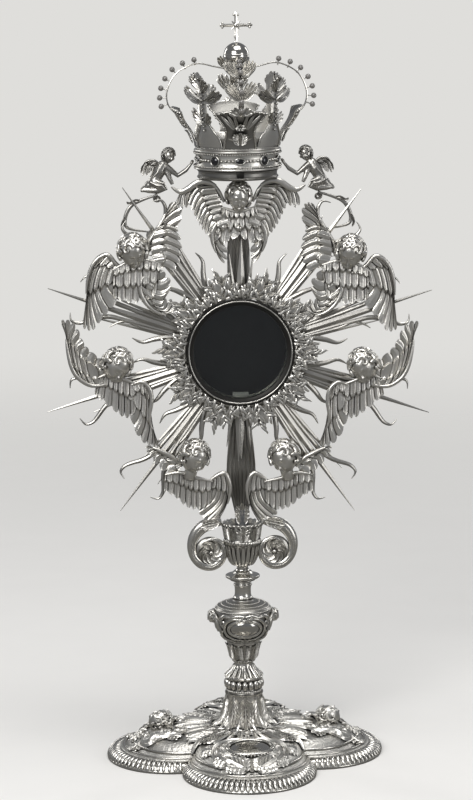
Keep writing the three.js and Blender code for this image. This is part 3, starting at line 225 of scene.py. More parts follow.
def strokes(name, lines, section):
    """Sweeps a section along lines of (x, y, z, half width, roll in degrees) as one mesh, flat side down."""
    outline = bpy.data.curves.new("section", "CURVE")
    outline.dimensions = "2D"
    edge = outline.splines.new("POLY")
    edge.points.add(len(section) - 1)
    for point, (x, y) in zip(edge.points, section):
        point.co = (x, y, 0, 1)
    edge.use_cyclic_u = True
    pen = placed("section", outline)
    curve = bpy.data.curves.new(name, "CURVE")
    curve.dimensions = "3D"
    curve.twist_mode = "Z_UP"
    curve.bevel_mode = "OBJECT"
    curve.bevel_object = pen
    curve.use_fill_caps = True
    for line in lines:
        spline = curve.splines.new("POLY")
        spline.points.add(len(line) - 1)
        for point, (x, y, z, half, *roll) in zip(spline.points, line):
            point.co = (x, y, z, 1)
            point.radius = half
            point.tilt = math.radians(roll[0]) if roll else 0
    select(placed(name, curve))
    bpy.ops.object.convert(target="MESH")
    drawn = bpy.context.active_object
    bpy.data.objects.remove(pen)
    return drawn


def turned(name, profile, steps=96, closed=True):
    """Turns a profile of (radius, height) once round the upright axis."""
    outline = bpy.data.meshes.new(name)
    count = len(profile)
    edges = [(i, i + 1) for i in range(count - 1)] + ([(count - 1, 0)] if closed else [])
    outline.from_pydata([(r, 0, z) for r, z in profile], edges, [])
    obj = placed(name, outline)
    select(obj)
    spin = obj.modifiers.new("turn", "SCREW")
    spin.steps = steps
    spin.render_steps = steps
    spin.use_merge_vertices = True
    spin.merge_threshold = 0.001
    bpy.ops.object.modifier_apply(modifier="turn")
    return outward(obj)


def outward(obj):
    """Merges doubles and turns every face outwards."""
    select(obj)
    bpy.ops.object.mode_set(mode="EDIT")
    bpy.ops.mesh.select_all(action="SELECT")
    bpy.ops.mesh.remove_doubles(threshold=0.0005)
    bpy.ops.mesh.normals_make_consistent(inside=False)
    bpy.ops.object.mode_set(mode="OBJECT")
    return obj


def joined(name, objects):
    """Joins finished parts into one piece."""
    select(*objects)
    if len(objects) > 1:
        bpy.ops.object.join()
    obj = bpy.context.active_object
    obj.name = name
    return obj


def copies(name, template, places):
    """One mesh of many copies of a template, each at its own place; the template goes."""
    build = bmesh.new()
    for place in places:
        copy = template.data.copy()
        copy.transform(place)
        if place.determinant() < 0:
            copy.flip_normals()
        build.from_mesh(copy)
        bpy.data.meshes.remove(copy)
    mesh = bpy.data.meshes.new(name)
    build.to_mesh(mesh)
    build.free()
    for material in template.data.materials:
        mesh.materials.append(material)
    bpy.data.objects.remove(template)
    return placed(name, mesh)


def ball(radius=1.0, around=16, down=10):
    """A small round bead at the origin."""
    deselect()
    bpy.ops.mesh.primitive_uv_sphere_add(segments=around, ring_count=down, radius=radius)
    return bpy.context.active_object


def bar(name, start, end, radius, around=24, edge=0.2):
    """A turned pin between two points, its ends eased."""
    length = math.dist(start, end)
    rim = min(edge, radius / 2)
    profile = [(0, 0), (radius - rim, 0), (radius, rim), (radius, length - rim), (radius - rim, length),
        (0, length)]
    obj = turned(name, profile, around, closed=False)
    along = Vector(end) - Vector(start)
    return put(obj, at(*start) @ along.to_track_quat("Z", "Y").to_matrix().to_4x4())


def coat(obj, material):
    """Gives all of a part one finish."""
    obj.data.materials.clear()
    obj.data.materials.append(bpy.data.materials[material])
    for face in obj.data.polygons:
        face.material_index = 0
    return obj


def facing(obj, y, turn=0.0):
    """Stands flat work up behind the window's plane: its upper side looks to the viewer."""
    return put(obj, at(0, y, SUN_Z) @ spun(-turn, "Y") @ spun(90, "X"))


def wrapped(obj, profile, angle=0.0):
    """Lays flat work (x across, y along, z out) on a turned surface with a profile of (radius, height)."""
    reach = [0.0]
    for a, b in zip(profile, profile[1:]):
        reach.append(reach[-1] + math.dist(a, b))
    out = 1 if profile[-1][1] >= profile[0][1] else -1
    for vertex in obj.data.vertices:
        x, y, z = vertex.co
        k = next((i for i in range(len(profile) - 2) if y < reach[i + 1]), len(profile) - 2)
        (r0, h0), (r1, h1) = profile[k], profile[k + 1]
        step = reach[k + 1] - reach[k]
        u = (y - reach[k]) / step
        r = r0 + (r1 - r0) * u
        radius = r + out * z * (h1 - h0) / step
        turn = math.radians(angle) + x / max(r, 4)
        height = h0 + (h1 - h0) * u - out * z * (r1 - r0) / step
        vertex.co = (radius * math.sin(turn), -radius * math.cos(turn), height)
    return obj


def finish(obj, slot, *nodes, body=BODY, crease=40, material=None):
    """Brings a piece from millimetres to its real size, smooths it and hangs it on its body."""
    if material:
        coat(obj, material)
    put(obj, Matrix.Scale(MM, 4))
    select(obj)
    bpy.ops.object.shade_smooth_by_angle(angle=math.radians(crease))
    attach(obj, body)
    if nodes:
        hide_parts(*nodes)
    return obj


def flipped(obj):
    """Turns a piece over to the other side of the upright axis."""
    put(obj, MIRROR)
    obj.data.flip_normals()
    return obj


def silver_piece(obj, node, **how):
    """A finished piece of silver that stands for its construction node."""
    obj.name = node + "_silver"
    return finish(obj, "silver", node, **how)


def mirrored(lines):
    """The same strokes on the other side of the upright axis."""
    return [[(-x, y, z, half, *[-r for r in roll]) for x, y, z, half, *roll in line] for line in lines]


def moved(lines, x, y, z=0.0, turn=0.0):
    """Strokes turned about the origin by degrees, then moved."""
    c, s = math.cos(math.radians(turn)), math.sin(math.radians(turn))
    return [[(x + c * px - s * py, y + s * px + c * py, z + pz, half, *roll)
        for px, py, pz, half, *roll in line] for line in lines]


def tapered(points, half, count=9, tip=0.12, root=0.5, roll=0.0):
    """A stroke through points of (x, y, z) that swells from its root and runs out to a tip."""
    line = []
    for i in range(count):
        t = i / (count - 1)
        swell = root + (1 - root) * math.sin(min(t / 0.45, 1) * math.pi / 2)
        close = math.sqrt(max(0.0, 1 - max(0.0, (t - 0.45) / 0.55) ** 2))
        line.append((*curve_point(points, t), half * max(swell * close, tip), roll))
    return line


def quill(arm, ends, t, fan, bow):
    """Middle line of a feather: 0 lies nearest the body; in a fan, 1 runs along the wing's front edge."""
    if not fan:
        (x0, y0), (x1, y1) = curve_point(arm, t), curve_point(ends, t)
        return [(x0, y0), ((x0 + x1) / 2 + bow * (y1 - y0), (y0 + y1) / 2 - bow * (x1 - x0)), (x1, y1)]
    start = 0.03 + 0.42 * t
    root, tip = curve_point(arm, start), curve_point(ends, t)
    path = [root]
    for j in (1, 2):
        along = curve_point(arm, start + (1 - start) * j / 3)
        path.append(tuple(a + (b - a) * j / 3 + (c - a - (b - a) * j / 3) * 0.95 * t
            for a, b, c in zip(root, tip, along)))
    return [*path, tip]


def plumage(name, arm, tips, counts, fan=True, base=1.6, step=1.5, camber=0.9, bow=0.0):
    """Rows of overlapping feathers cast in one piece, from a line along their roots and one back along their
    tips; counts are the feathers in each row, the longest first."""
    ends = [*([arm[-1]] if fan else []), *tips][::-1]
    rows = len(counts)
    middle = smooth_line(quill(arm, ends, 0.5, fan, bow), 9)
    length = line_length(middle)
    spread = math.dist(*(curve_point(quill(arm, ends, t, fan, bow), 0.6) for t in (0.05, 0.95)))
    shares = [(1 - r / rows) ** 1.15 for r in range(rows)]
    across, along = FEATHER_STEPS * max(counts), min(max(int(length), FEWEST_STEPS), MOST_STEPS)
    top = []
    for i in range(across + 1):
        t = i / across
        path = quill(arm, ends, t, fan, bow)
        edges = []
        for r, (count, share) in enumerate(zip(counts, shares)):
            off = abs(2 * ((t * count + 0.42 * r + 0.13 * math.sin(9 * t + 2 * r)) % 1) - 1)
            tip = min((1.25 if r == 0 else 0.8) * spread / count / length, 0.26)
            drop = 0.5 - 0.5 * math.sqrt(max(0.0, 1 - off * off)) + 0.5 * off**2
            edges.append((off, share - tip * drop))
        for j in range(along + 1):
            v = edges[0][1] * j / along
            x, y = curve_point(path, v)
            z = 0
            for r, (off, end) in enumerate(edges):
                start = shares[r + 1] - 0.1 if r + 1 < rows else 0
                bare = min(max((v - start) / (end - start), 0), 1)
                quill_ridge = 0.3 * max(0.0, 1 - off / 0.16)
                seam = -0.9 * max(0.0, (off - 0.8) / 0.2) * (0.35 + 0.65 * bare) + quill_ridge
                arch = camber * (1 - off * off) * (0.55 + 0.6 * bare) + 0.14 * math.cos(5 * math.pi * off)
                height = base + step * r + arch + seam + 0.7 * bare**3 + 1.2 * (1 - v)
                cover = 1 if r == 0 else min(max((end - v) * length / 0.8 + 0.5, 0), 1)
                z += (height - z) * cover
            top.append((x, y, z))
    wide = along + 1
    loop = [*range(0, across * wide, wide), *range(across * wide, (across + 1) * wide - 1)]
    loop += [*range((across + 1) * wide - 1, along, -wide), *range(along, 0, -1)]
    faces = [(i * wide + j, (i + 1) * wide + j, (i + 1) * wide + j + 1, i * wide + j + 1)
        for i in range(across) for j in range(along)]
    # The back is hollowed after the front, as a casting is
    under = len(top)
    faces += [tuple(under + corner for corner in reversed(face)) for face in faces]
    for k, corner in enumerate(loop):
        after = loop[(k + 1) % len(loop)]
        faces.append((after, corner, under + corner, under + after))
    mesh = bpy.data.meshes.new(name)
    mesh.from_pydata(top + [(x, y, 0.1 + 0.5 * max(z - base, 0)) for x, y, z in top], [], faces)
    return outward(placed(name, mesh))


def wing(arm, tips, counts, base=1.6, step=1.5, camber=0.9, edge=2.3):
    """A wing: its rows of feathers and the smooth roll along its front edge."""
    feathers = plumage("feathers", arm, tips, counts, True, base, step, camber)
    bend = smooth_line(arm, 18)[:14]
    height = base + step * (len(counts) - 1) + 1.0
    roll = strokes("edge", [tapered([(x, y, height) for x, y in bend], edge, 20, 0.3, 0.6)], ROUND)
    return joined("wing", [feathers, roll])


def slab(name, outline, low, high):
    """A flat plate with an outline, between two heights."""
    count = len(outline)
    mesh = bpy.data.meshes.new(name)
    walls = [(k, (k + 1) % count, count + (k + 1) % count, count + k) for k in range(count)]
    corners = [(x, y, low) for x, y in outline] + [(x, y, high) for x, y in outline]
    mesh.from_pydata(corners, [], [*walls, tuple(range(count)), tuple(range(count, 2 * count))])
    return outward(placed(name, mesh))


def acanthus(length, width, pairs, lift, curl, half):
    """Strokes of a leaf that grows along +Y: pairs of lobes, a midrib and a tip that curls forward."""
    lines = []
    for j in range(pairs):
        t = (j + 0.2) / pairs
        out = width * (0.55 + 0.55 * math.sin(math.pi * (0.15 + 0.75 * t)))
        low, high = length * (0.05 + 0.68 * t), length * (0.05 + 0.68 * t) + length * 0.26
        for side in (-1, 1):
            path = [(side * 0.06 * width, low, lift * 0.4), (side * 0.5 * out, low + 0.06 * length, lift),
                (side * 0.92 * out, low + 0.16 * length, lift * 1.1), (side * out, high,
                lift + curl * (0.2 + 0.5 * t))]
            lines.append(tapered(path, half * (1.1 - 0.25 * t), 8, roll=side * 14))
            inner = [(px * 0.62, py + 0.05 * length, pz + 0.35 * lift) for px, py, pz in path]
            lines.append(tapered(inner, half * 0.8, 7, roll=side * 8))
    crest = [(0, length * 0.5, lift), (0, length * 0.8, lift * 1.3), (0, length, lift + curl)]
    rib = [(0, 0, lift * 0.8), (0, length * 0.5, lift * 1.7), (0, length * 0.86, lift * 1.8)]
    return [*lines, tapered(crest, half * 1.25, 9), tapered(rib, half * 0.55, 8, root=0.9)]


def rinceau(points, half, leaf, side, count, height=1.0):
    """A scrolling stem with leaves along one side."""
    path = [(x, y, height) for x, y in points]
    lines = [tapered(path, half, 26, tip=0.4, root=0.6)]
    for k in range(count):
        t = 0.1 + 0.78 * k / max(count - 1, 1)
        (x0, y0, _), (x1, y1, _) = curve_point(path, t), curve_point(path, t + 0.02)
        ahead = math.atan2(y1 - y0, x1 - x0)
        reach = leaf * (0.65 + 0.5 * math.sin(math.pi * t))
        bend, far = ahead + side * 1.1, ahead + side * 0.45
        knee = (x0 + 0.5 * reach * math.cos(bend), y0 + 0.5 * reach * math.sin(bend), height + 0.4)
        tip = (knee[0] + 0.6 * reach * math.cos(far), knee[1] + 0.6 * reach * math.sin(far), height)
        lines.append(tapered([(x0, y0, height * 0.6), knee, tip], leaf * 0.2, 7))
    return lines


def spiral(x, y, start, end, angle, turns):
    """Points of a scroll's eye, from an outer radius in to an inner one."""
    points = []
    for i in range(20):
        t = i / 19
        reach = start + (end - start) * t**0.8
        a = math.radians(angle) + 2 * math.pi * turns * t
        points.append((x + reach * math.cos(a), y + reach * math.sin(a)))
    return points


# Finishes


def add_node(tree, kind, inputs=None, **settings):
    """Adds a node; an input takes a value or another node's output."""
    node = tree.nodes.new(kind)
    for name, value in settings.items():
        setattr(node, name, value)
    for name, value in (inputs or {}).items():
        if isinstance(value, bpy.types.NodeSocket):
            tree.links.new(value, node.inputs[name])
        else:
            node.inputs[name].default_value = value
    return node


def new_material(name, **values):
    """A material's node tree, its shader with some sockets set, and the coordinates of the object."""
    material = bpy.data.materials.new(name)
    material.use_nodes = True
    shader = material.node_tree.nodes["Principled BSDF"]
    for socket, value in values.items():
        shader.inputs[socket.replace("_", " ")].default_value = value
    place = add_node(material.node_tree, "ShaderNodeTexCoord").outputs["Object"]
    return material.node_tree, shader, place


def feed(shader, socket, output):
    """Drives a socket of the shader by another node."""
    shader.id_data.links.new(output, shader.inputs[socket])


def silver(name, finishes, recess_mm, roughness, grain_mm, grain_depth_mm, tone=1.0):
    """Sterling silver. Recesses that ambient occlusion finds take on the tarnish colour: tarnish that a
    cloth can't reach, and with it painted shade, so the relief reads from its recesses; fine grain from the
    chasing tools or the burnisher breaks up its reflections."""
    tree, shader, place = new_material(name, Metallic=1.0)
    # Painted shade and tarnish: ambient occlusion darkens the recesses towards the tarnish colour
    hollow = add_node(tree, "ShaderNodeAmbientOcclusion", {"Distance": recess_mm * MM}, samples=6)
    open_share = add_node(tree, "ShaderNodeMapRange", {"Value": hollow.outputs["AO"], "From Min": 0.3,
        "From Max": 0.86})
    cloud = add_node(tree, "ShaderNodeTexNoise", {"Vector": place, "Scale": 1 / (14 * MM), "Detail": 4.0})
    film = add_node(tree, "ShaderNodeMath", {0: cloud.outputs[0], 1: 0.16}, operation="MULTIPLY")
    unshaded_and_rubbed = add_node(tree, "ShaderNodeMath", {0: open_share.outputs[0], 1: 0.92, 2: film.outputs[0]},
        operation="MULTIPLY_ADD")
    bright = tuple(c * tone for c in finishes.silver[:3]) + (1.0,)
    mix = add_node(tree, "ShaderNodeMix", {0: unshaded_and_rubbed.outputs[0], 6: tuple(finishes.tarnish_and_shade), 7: bright},
        data_type="RGBA")
    feed(shader, "Base Color", mix.outputs[2])
    dull = add_node(tree, "ShaderNodeMapRange", {"Value": unshaded_and_rubbed.outputs[0], "To Min": roughness + 0.3,
        "To Max": roughness})
    feed(shader, "Roughness", dull.outputs[0])
    grain = add_node(tree, "ShaderNodeTexNoise", {"Vector": place, "Scale": 1 / (grain_mm * MM),
        "Detail": 3.0})
    bump = add_node(tree, "ShaderNodeBump", {"Height": grain.outputs[0], "Distance": grain_depth_mm * MM})
    feed(shader, "Normal", bump.outputs[0])


def make_finishes(finishes):
    """Every finish of the object."""
    # Silver worked from the front with punches: bright ridges, hollows darkened by tarnish and painted
    # shade, soft grain
    silver(CHASED, finishes, 2.6, 0.3, 1.3, 0.16)
    # The same metal, less polished, its whole colour darkened as painted shade on pieces that sit back:
    # behind the rays, crown's drum and petals
    silver("shaded_unpolished_silver", finishes, 5.0, 0.36, 2.2, 0.10, 0.42)
    # Inner slope of the window's frame and the slot in the crown's drum, coloured near black as painted
    # shade
    silver("near_black_silver", finishes, 3.0, 0.4, 2.0, 0.05, 0.06)
    # Rays, putti, scrolls and the knop's body: beaten or cast and left as they came, rougher, with their
    # colour darkened to grey as painted shade
    silver("dull_shaded_silver", finishes, 3.0, 0.32, 2.2, 0.08, 0.6)
    # Silver rubbed with a steel burnisher until it shines: mouldings, disc, neck and case
    silver(BRIGHT, finishes, 2.2, 0.24, 2.4, 0.06, 0.92)
    # Plain ovals and the ball under the cross, polished like a mirror
    silver("mirror_silver", finishes, 1.6, 0.14, 5.0, 0.03, 0.8)
    # Ground of the foot, struck all over with a ring punch so that it stays matt
    silver("matted_silver", finishes, 3.0, 0.38, 2.6, 1.1, 0.86)
    # Mild steel of the rod and nuts, filed and left dull
    tree, shader, place = new_material("filed_steel", Metallic=1.0, Base_Color=tuple(finishes.steel))
    scratches = add_node(tree, "ShaderNodeTexNoise", {"Vector": place, "Scale": 1 / (2 * MM), "Detail": 5.0})
    dull = add_node(tree, "ShaderNodeMapRange", {"Value": scratches.outputs[0], "To Min": 0.35,
        "To Max": 0.6})
    feed(shader, "Roughness", dull.outputs[0])
    # Blown crown glass, clear with a faint wave
    tree, shader, place = new_material("crown_glass", Roughness=0.02, IOR=1.5, Transmission_Weight=1.0)
    shader.inputs["Base Color"].default_value = srgb("eef2ee")
    wave = add_node(tree, "ShaderNodeTexNoise", {"Vector": place, "Scale": 1 / (45 * MM), "Detail": 0.0})
    bump = add_node(tree, "ShaderNodeBump", {"Height": wave.outputs[0], "Distance": 0.3 * MM})
    feed(shader, "Normal", bump.outputs[0])
    # The rear pane is backed with dark velvet, so the window reads black
    tree, shader, place = new_material("velvet_backed_glass", Roughness=0.5, Specular_IOR_Level=0.12)
    nap = add_node(tree, "ShaderNodeTexNoise", {"Vector": place, "Scale": 1 / (0.5 * MM), "Detail": 2.0})
    shade = add_node(tree, "ShaderNodeMix", {0: nap.outputs[0], 6: srgb("060607"), 7: srgb("0b0b0d")},
        data_type="RGBA")
    feed(shader, "Base Color", shade.outputs[2])
    # Dark garnet, cut round and polished
    tree, shader, place = new_material("dark_garnet", Roughness=0.06, IOR=1.74,
        Base_Color=tuple(finishes.stone))
    cloud = add_node(tree, "ShaderNodeTexNoise", {"Vector": place, "Scale": 1 / (1.5 * MM), "Detail": 2.0})
    gloss = add_node(tree, "ShaderNodeMapRange", {"Value": cloud.outputs[0], "To Min": 0.03, "To Max": 0.14})
    feed(shader, "Roughness", gloss.outputs[0])
    # Nacre of dark pearls: smooth layers that give a soft grey lustre
    tree, shader, place = new_material("pearl_nacre", Roughness=0.2, Coat_Weight=0.8, Coat_Roughness=0.08)
    layer = add_node(tree, "ShaderNodeTexNoise", {"Vector": place, "Scale": 1 / (2.5 * MM), "Detail": 2.0})
    shade = add_node(tree, "ShaderNodeMix", {0: layer.outputs[0], 6: tuple(finishes.pearl),
        7: srgb("565350")}, data_type="RGBA")
    feed(shader, "Base Color", shade.outputs[2])


# Foot

FOOT_NOTCH = 94
LOBE_CENTRE = (FOOT_REACH**2 - FOOT_NOTCH**2) / (2 * FOOT_REACH - math.sqrt(2) * FOOT_NOTCH)
LOBE_R = FOOT_REACH - LOBE_CENTRE
LOBE_MIDDLE = 86  # from the stem to the ornament on a lobe
FOOT_CORE = 7  # nearer to the stem than this the foot stays round
FOOT_TOP = [
    (4.3, 31), (36, 31), (48, 30.2), (60, 29.2), (78, 28.2), (93, 27.2), (101, 25.4), (107, 22.4),
    (111.5, 18.6), (114, 15.8), (116.5, 15.2), (117.5, 13.6), (122, 13), (124.5, 12.8), (126.6, 12),
    (127, 10.2), (130, 9.8), (134, 8.4), (137, 5.6), (140, 3),
]


def foot_edge(angle):
    """How far the four lobes reach in a direction."""
    off = angle - math.pi / 2 * round(angle / (math.pi / 2))
    across = LOBE_CENTRE * math.sin(off)
    return LOBE_CENTRE * math.cos(off) + math.sqrt(LOBE_R**2 - across**2)


def lobed(obj):
    """Draws a round piece in to the four lobes."""
    for vertex in obj.data.vertices:
        x, y, _ = vertex.co
        r = math.hypot(x, y)
        if r > FOOT_CORE:
            edge = foot_edge(math.atan2(y, x))
            drawn = FOOT_CORE + (r - FOOT_CORE) * (edge - FOOT_CORE) / (FOOT_REACH - FOOT_CORE)
            vertex.co.x, vertex.co.y = x / r * drawn, y / r * drawn
    return obj


def foot_height(x, y):
    """Height of the foot's upper surface over a place on the table."""
    edge = foot_edge(math.atan2(y, x))
    r = FOOT_CORE + (math.hypot(x, y) - FOOT_CORE) * (FOOT_REACH - FOOT_CORE) / (edge - FOOT_CORE)
    r = min(max(r, FOOT_TOP[0][0]), FOOT_REACH)
    for (r0, z0), (r1, z1) in zip(FOOT_TOP, FOOT_TOP[1:]):
        if r <= r1:
            return z0 + (z1 - z0) * (r - r0) / (r1 - r0)
    return FOOT_TOP[-1][1]


def on_foot(obj):
    """Lets flat work follow the foot's upper surface."""
    for vertex in obj.data.vertices:
        vertex.co.z += foot_height(vertex.co.x, vertex.co.y)
    return obj


def lobe_places(count=4, offset=0.0):
    return [Matrix.Rotation(math.radians(offset) + 2 * math.pi * k / count, 4, "Z") for k in range(count)]


def edge_gadroons():
    """Ribs across the foot's border, square to its edge, one lobe's worth."""
    lines = []
    sweep = math.atan2(FOOT_NOTCH / math.sqrt(2), FOOT_NOTCH / math.sqrt(2) - LOBE_CENTRE)
    count = 39
    for k in range(count):
        a = -sweep * 0.985 + 2 * sweep * 0.985 * k / (count - 1)
        line = []
        for inset, z, half in ((14.6, 10.8, 1.3), (13.2, 11.2, 2.1), (10.2, 11.2, 2.45), (7, 10.4, 2.6),
                (4, 8.4, 2.5), (1.8, 5.7, 2.1), (0.7, 3.6, 1.4)):
            r = LOBE_R - inset
            line.append((LOBE_CENTRE + r * math.cos(a), r * math.sin(a), z - 1.5, half))
        lines.append(line)
    return lines


def oval_line(a, b, half, height, count=49):
    turns = [2 * math.pi * (i / (count - 1)) for i in range(count)]
    return [(a * math.sin(turn), b * math.cos(turn), height, half) for turn in turns]


def cartouche_frame():
    """Moulding and leafy scrolls round an oval; +Y is towards the stem."""
    lines = []
    side = rinceau([(-5, 24), (-16, 25), (-27, 19), (-34, 8), (-35, -4), (-29, -14), (-19, -19)], 3.6, 14, 1,
        9, 2.6)
    lines += side + mirrored(side)
    for flip in (1, -1):
        lines.append([(flip * x, y, 1.6, 1.5) for x, y in spiral(-15, -19, 5.6, 1.2, 0, 1.3)])
        lines.append([(flip * x, y, 1.6, 1.3) for x, y in spiral(-5, 27, 4.6, 1.0, 200, -1.2)])
        lines += moved(acanthus(17, 7, 3, 1.2, 1.4, 1.9), -33 * flip, 4, 0.4, 58 * flip)
        lines += moved(acanthus(24, 9, 4, 1.6, 2.4, 2.2), -4 * flip, -30, 1.2, 62 * flip)
        lines += moved(acanthus(18, 7, 3, 1.4, 2.0, 1.9), -24 * flip, -20, 1.2, 34 * flip)
    lines += moved(acanthus(15, 8, 3, 1.6, 1.6, 1.9), 0, -19, 1.4, 180)
    lines += moved(acanthus(14, 8, 3, 1.2, 1.4, 1.7), 0, 22, 0.6)
    return lines


def head_scrolls():
    """Scrolls and leaves below a foot's winged head; +Y is towards the stem."""
    side = rinceau([(-6, 26), (-18, 26), (-28, 19), (-31, 8), (-29, -3), (-32, -10), (-24, -17), (-13, -16)],
        3.6, 13, 1, 9, 2.6)
    lines = side + mirrored(side)
    for flip in (1, -1):
        lines.append([(flip * x, y, 1.6, 1.6) for x, y in spiral(-12, -15, 5.2, 1.2, 250, 1.4)])
        lines.append([(flip * x, y, 1.6, 1.5) for x, y in spiral(-30, 12, 5.6, 1.2, 60, -1.3)])
        lines += moved(acanthus(17, 7, 3, 1.2, 1.4, 1.9), -18 * flip, -17, 0.4, 150 * flip)
        lines += moved(acanthus(16, 7, 3, 1.2, 1.4, 1.8), -30 * flip, 8, 0.4, 20 * flip)
    lines += moved(acanthus(19, 9, 4, 1.4, 1.4, 1.9), 0, -12, 0.8, 180)
    return lines


def notch_leaf():
    """Leaf and two scrolls between two lobes, growing outwards along +X."""
    leaf = moved(acanthus(37, 13, 5, 1.6, 1.6, 2.3), 43, 0, 0.5, -90)
    curl = rinceau([(44, 4), (52, 14), (63, 17), (70, 11), (66, 5)], 2.1, 9, -1, 6, 1.6)
    return leaf + curl + [[(x, -y, z, h, -r) for x, y, z, h, r in line] for line in curl]


def collar_fan():
    """Long leaves that lie side by side on a lobe, from the stem's collar towards -Y."""
    lines = []
    for k in range(9):
        lean = math.radians(8.5 * (k - 4))
        reach = 31 - 1.3 * abs(k - 4) + 3 * (k % 2)
        path = []
        for share, height in ((0, 0.7), (0.5, 1.9), (0.85, 1.5), (1, 0.6)):
            r, a = 40 + reach * share, lean * (1 + 0.16 * share)
            path.append((r * math.sin(a), -r * math.cos(a), height))
        lines.append(tapered(path, 2.9, 10, 0.16, 0.7, 12 if k % 2 else -12))
    return lines


def model_rim():
    rim = turned("foot_rim", rounded([(121, 0), (139.4, 0), (140, 0.6), (140, 2.4), (138.6, 3.2),
        (137.4, 4.4), (135, 7.6), (129, 9.4), (121, 9.7)], 1) + [(121, 9.7)], 480)
    lobed(rim)
    ribs = strokes("gadroons", edge_gadroons(), ROUND)
    ribs = copies("gadroons", ribs, lobe_places())
    silver_piece(joined("foot_rim", [rim, ribs]), "foot_rim", material=BRIGHT)


def model_shell():
    under = [(122, 10.3), (117, 12.2), (111, 15.4), (104, 21), (93, 25.2), (59, 27.2), (36, 29.2),
        (4.3, 29.2)]
    top = rounded(FOOT_TOP[:15], 1) + [(127, 11.6), (127, 10.3)]
    shell = coat(lobed(turned("shell", top + under, 384)), "matted_silver")
    edging = []
    for r, z, half in ((122.5, 13.2, 1.1), (113.4, 17.2, 1.5), (40, 31.2, 1.3), (35.5, 31.3, 1.6)):
        ring = [(r + half * math.cos(math.pi * k / 6), z + half * math.sin(math.pi * k / 6))
            for k in range(12)]
        edging.append(coat(lobed(turned("moulding", ring, 384)), BRIGHT))
    front_frame = strokes("frame", cartouche_frame(), LEAF)
    front_frame = copies("frame", front_frame, [spun(a) @ at(0, -LOBE_MIDDLE, 0) for a in (0, 180)])
    side_frame = strokes("frame", head_scrolls(), LEAF)
    side_frame = copies("frame", side_frame, [spun(a) @ at(0, -88, 0) for a in (90, -90)])
    between = copies("leaf", strokes("leaf", notch_leaf(), LEAF), lobe_places(offset=45))
    collar = strokes("collar", moved(acanthus(14, 6.5, 3, 0.8, 1.0, 1.2), 0, -34, 0.6, 180), LEAF)
    collar = copies("collar", collar, lobe_places(16, 11.25))
    fans = copies("fans", strokes("fans", collar_fan(), LEAF), lobe_places())
    chased = on_foot(joined("chasing", [front_frame, side_frame, between, collar, fans]))
    silver_piece(joined("foot_shell", [shell, *edging, coat(chased, CHASED)]), "foot_shell")


def model_cartouches():
    for word, turn in (("front", 0), ("back", 180)):
        low, high = span("foot_cartouche_" + word)
        middle = (low + high) / 2
        dome = [(0, 2.6), (0.5, 2.3), (0.82, 1.2), (0.97, 0), (1, -0.8), (0.97, -1.9), (0, -1.9)]
        oval = put(turned("oval", rounded([(r * 19.5, z) for r, z in dome], 2), 96, closed=False),
            stretched(1.08, 0.76, 1))
        coat(oval, "mirror_silver")
        frame_line = strokes("moulding", [oval_line(22.6, 16.2, 1.5, 0.6), oval_line(20.9, 14.7, 0.7, 1.2)],
            ROUND)
        turns = [2 * math.pi * k / 44 for k in range(44)]
        pearls = [at(25 * math.sin(a), 18.2 * math.cos(a), 0) for a in turns]
        rope = copies("beads", ball(1.0, 8, 6), pearls)
        plate = joined("cartouche", [oval, coat(frame_line, BRIGHT), coat(rope, CHASED)])
        put(plate, at(*middle) @ spun(turn) @ spun(10, "X"))
        finish(plate, "silver", "foot_cartouche_" + word)


def model_foot_heads():
    for word, turn in (("right", 90), ("left", -90)):
        stand = spun(turn) @ at(0, -LOBE_MIDDLE, 36.6)
        face = put(child_head("head", 10.4), stand @ spun(14, "X"))
        one = wing([(-5, 2), (-15, 12), (-26, 12), (-34, 1)], [(-35, -9), (-30, -16), (-20, -17),
            (-10, -11)], (6, 5), 2.0, 1.2, 0.6, 2.0)
        pair = copies("wings", one, [Matrix.Identity(4), MIRROR])
        put(pair, spun(turn) @ at(0, -LOBE_MIDDLE, 0))
        silver_piece(joined("foot_cherub", [face, on_foot(pair)]), "foot_cherub_" + word, material=CHASED,
            crease=60)


def model_foot():
    model_rim()
    model_shell()
    model_cartouches()
    model_foot_heads()


# Stem

ROD_BORE = 4.3
KNOP_GIRTH = 29.2
CUP_FLOOR = 205.6  # where the sun's tang stands


def level(node, shares):
    """A profile of (radius, share of height) as (radius, height) within a stem piece."""
    low, high = span(node)
    return [(r, low.z + share * (high.z - low.z)) for r, share in shares]


def core(name, node, shares, material, smooth=1, steps=96):
    """The turned body of a stem piece, bored for the rod."""
    low, high = span(node)
    line = rounded(level(node, shares), smooth)
    return coat(turned(name, [(ROD_BORE, low.z), *line, (ROD_BORE, high.z)], steps), material)


def banded(name, lines, profile, count, section, material, angle=0.0):
    """Flat work laid on a turned surface and repeated round it."""
    one = wrapped(strokes(name, lines, section), profile)
    return coat(copies(name, one, lobe_places(count, angle)), material)


def round_places(radius, z, count, shape=None):
    """Places in a ring round the upright axis; a shape is turned to face outwards at each."""
    places = []
    for a in [2 * math.pi * k / count for k in range(count)]:
        place = at(radius * math.sin(a), -radius * math.cos(a), z)
        places.append(place @ Matrix.Rotation(a, 4, "Z") @ shape if shape else place)
    return places


def bead_ring(radius, z, count, bead, material):
    return coat(copies("beads", ball(bead, 14, 8), round_places(radius, z, count)), material)


